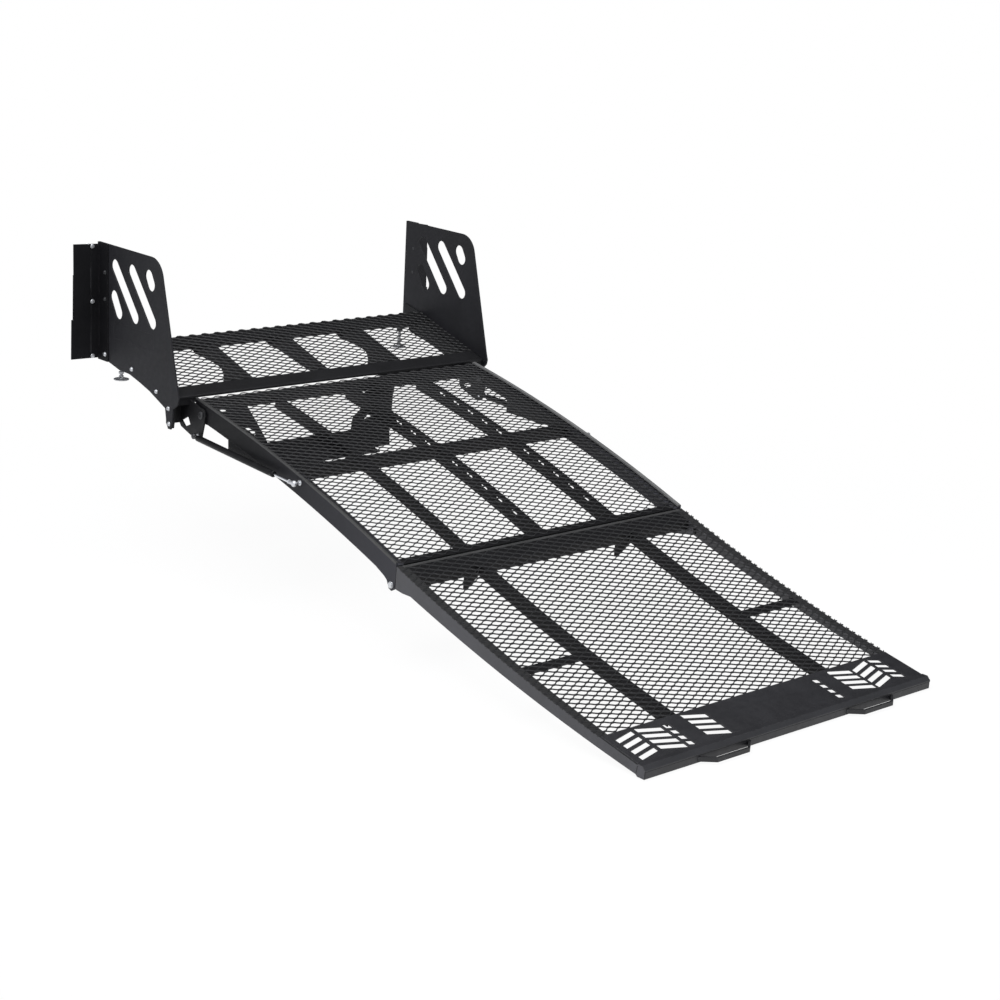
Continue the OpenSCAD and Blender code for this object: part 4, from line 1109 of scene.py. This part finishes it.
class RACK_OT_stage(bpy.types.Operator):
    """Camera, floor, lamps and world"""
    bl_idname = "rack.stage"
    bl_label = "Stage"

    def execute(self, context):
        scene = context.scene
        scene.view_settings.view_transform = "Standard"
        self.camera(scene)
        self.floor(scene)
        add_lamp("key_lamp", (-4.5, -3.5, 5.5), (0, -1.3, -0.4), (3.5, 3.5), 300)
        add_lamp("top_lamp", (-0.5, -1.8, 5.4), (0, -1.3, -0.4), (5.0, 5.0), 260)
        self.world(scene)
        return {"FINISHED"}

    def camera(self, scene):
        data = bpy.data.cameras.new("camera")
        data.lens = CAMERA_LENS
        data.sensor_width = 36.0
        data.clip_end = 200.0
        obj = bpy.data.objects.new("camera", data)
        right = CAMERA_FORWARD.cross(CAMERA_UP).normalized()
        up = right.cross(CAMERA_FORWARD).normalized()
        back = -CAMERA_FORWARD.normalized()
        turn = Matrix((right, up, back)).transposed().to_4x4()
        obj.matrix_world = Matrix.Translation(CAMERA_PLACE) @ turn
        scene.collection.objects.link(obj)
        scene.camera = obj

    def floor(self, scene):
        bm = bmesh.new()
        bmesh.ops.create_grid(bm, x_segments=8, y_segments=8, size=30.0)
        data = bpy.data.meshes.new("floor")
        bm.to_mesh(data)
        bm.free()
        obj = bpy.data.objects.new("floor", data)
        obj.location = (0, 0, FLOOR_Z)
        scene.collection.objects.link(obj)
        paint(obj, "floor")

    def world(self, scene):
        scene.world = bpy.data.worlds.new("studio")
        r = Recipe(scene.world)
        way = r.node("ShaderNodeTexCoord").outputs["Generated"]
        dark = r.value("ShaderNodeVectorMath", {"operation": "DOT_PRODUCT"}, {0: way, 1: DARK_SIDE}, out=1)
        fade = r.value("ShaderNodeMapRange", {"clamp": True, "interpolation_type": "SMOOTHSTEP"},
                       {"Value": dark, "From Min": 0.05, "From Max": 0.75, "To Min": 0.8, "To Max": 0.06})
        soft = r.node("ShaderNodeBackground", None, {"Color": (0.93, 0.95, 1.0, 1.0), "Strength": fade})
        white = r.node("ShaderNodeBackground", None, {"Color": (1.0, 1.0, 1.0, 1.0), "Strength": 1.0})
        seen = r.node("ShaderNodeLightPath").outputs["Is Camera Ray"]
        r.surface(r.node("ShaderNodeMixShader", None, {0: seen, 1: soft.outputs[0], 2: white.outputs[0]}),
                  "ShaderNodeOutputWorld")


class RACK_PT_panel(bpy.types.Panel):
    """Lists the steps that dress the ramp rack"""
    bl_label = "Ramp rack"
    bl_idname = "RACK_PT_panel"
    bl_space_type = "VIEW_3D"
    bl_region_type = "UI"
    bl_category = "Ramp Rack"

    def draw(self, context):
        layout = self.layout
        for group in (context.scene.rack_sizes, context.scene.rack_colours):
            for key in group.__annotations__:
                layout.prop(group, key)
        for step in STEPS:
            layout.operator(step.bl_idname)


STEPS = (RACK_OT_stage, RACK_OT_finishes, RACK_OT_expanded_metal, RACK_OT_posts, RACK_OT_ribs,
         RACK_OT_ramp_plates, RACK_OT_fasteners, RACK_OT_feet, RACK_OT_struts, RACK_OT_welds,
         RACK_OT_end_trim)
CLASSES = (RackSizes, RackColours) + STEPS + (RACK_PT_panel,)


def register():
    for cls in CLASSES:
        bpy.utils.register_class(cls)
    bpy.types.Scene.rack_sizes = PointerProperty(type=RackSizes)
    bpy.types.Scene.rack_colours = PointerProperty(type=RackColours)


def unregister():
    del bpy.types.Scene.rack_colours
    del bpy.types.Scene.rack_sizes
    for cls in reversed(CLASSES):
        bpy.utils.unregister_class(cls)


def main():
    register()
    for step in STEPS:
        group, name = step.bl_idname.split(".")
        getattr(getattr(bpy.ops, group), name)()


if __name__ == "__main__":
    main()
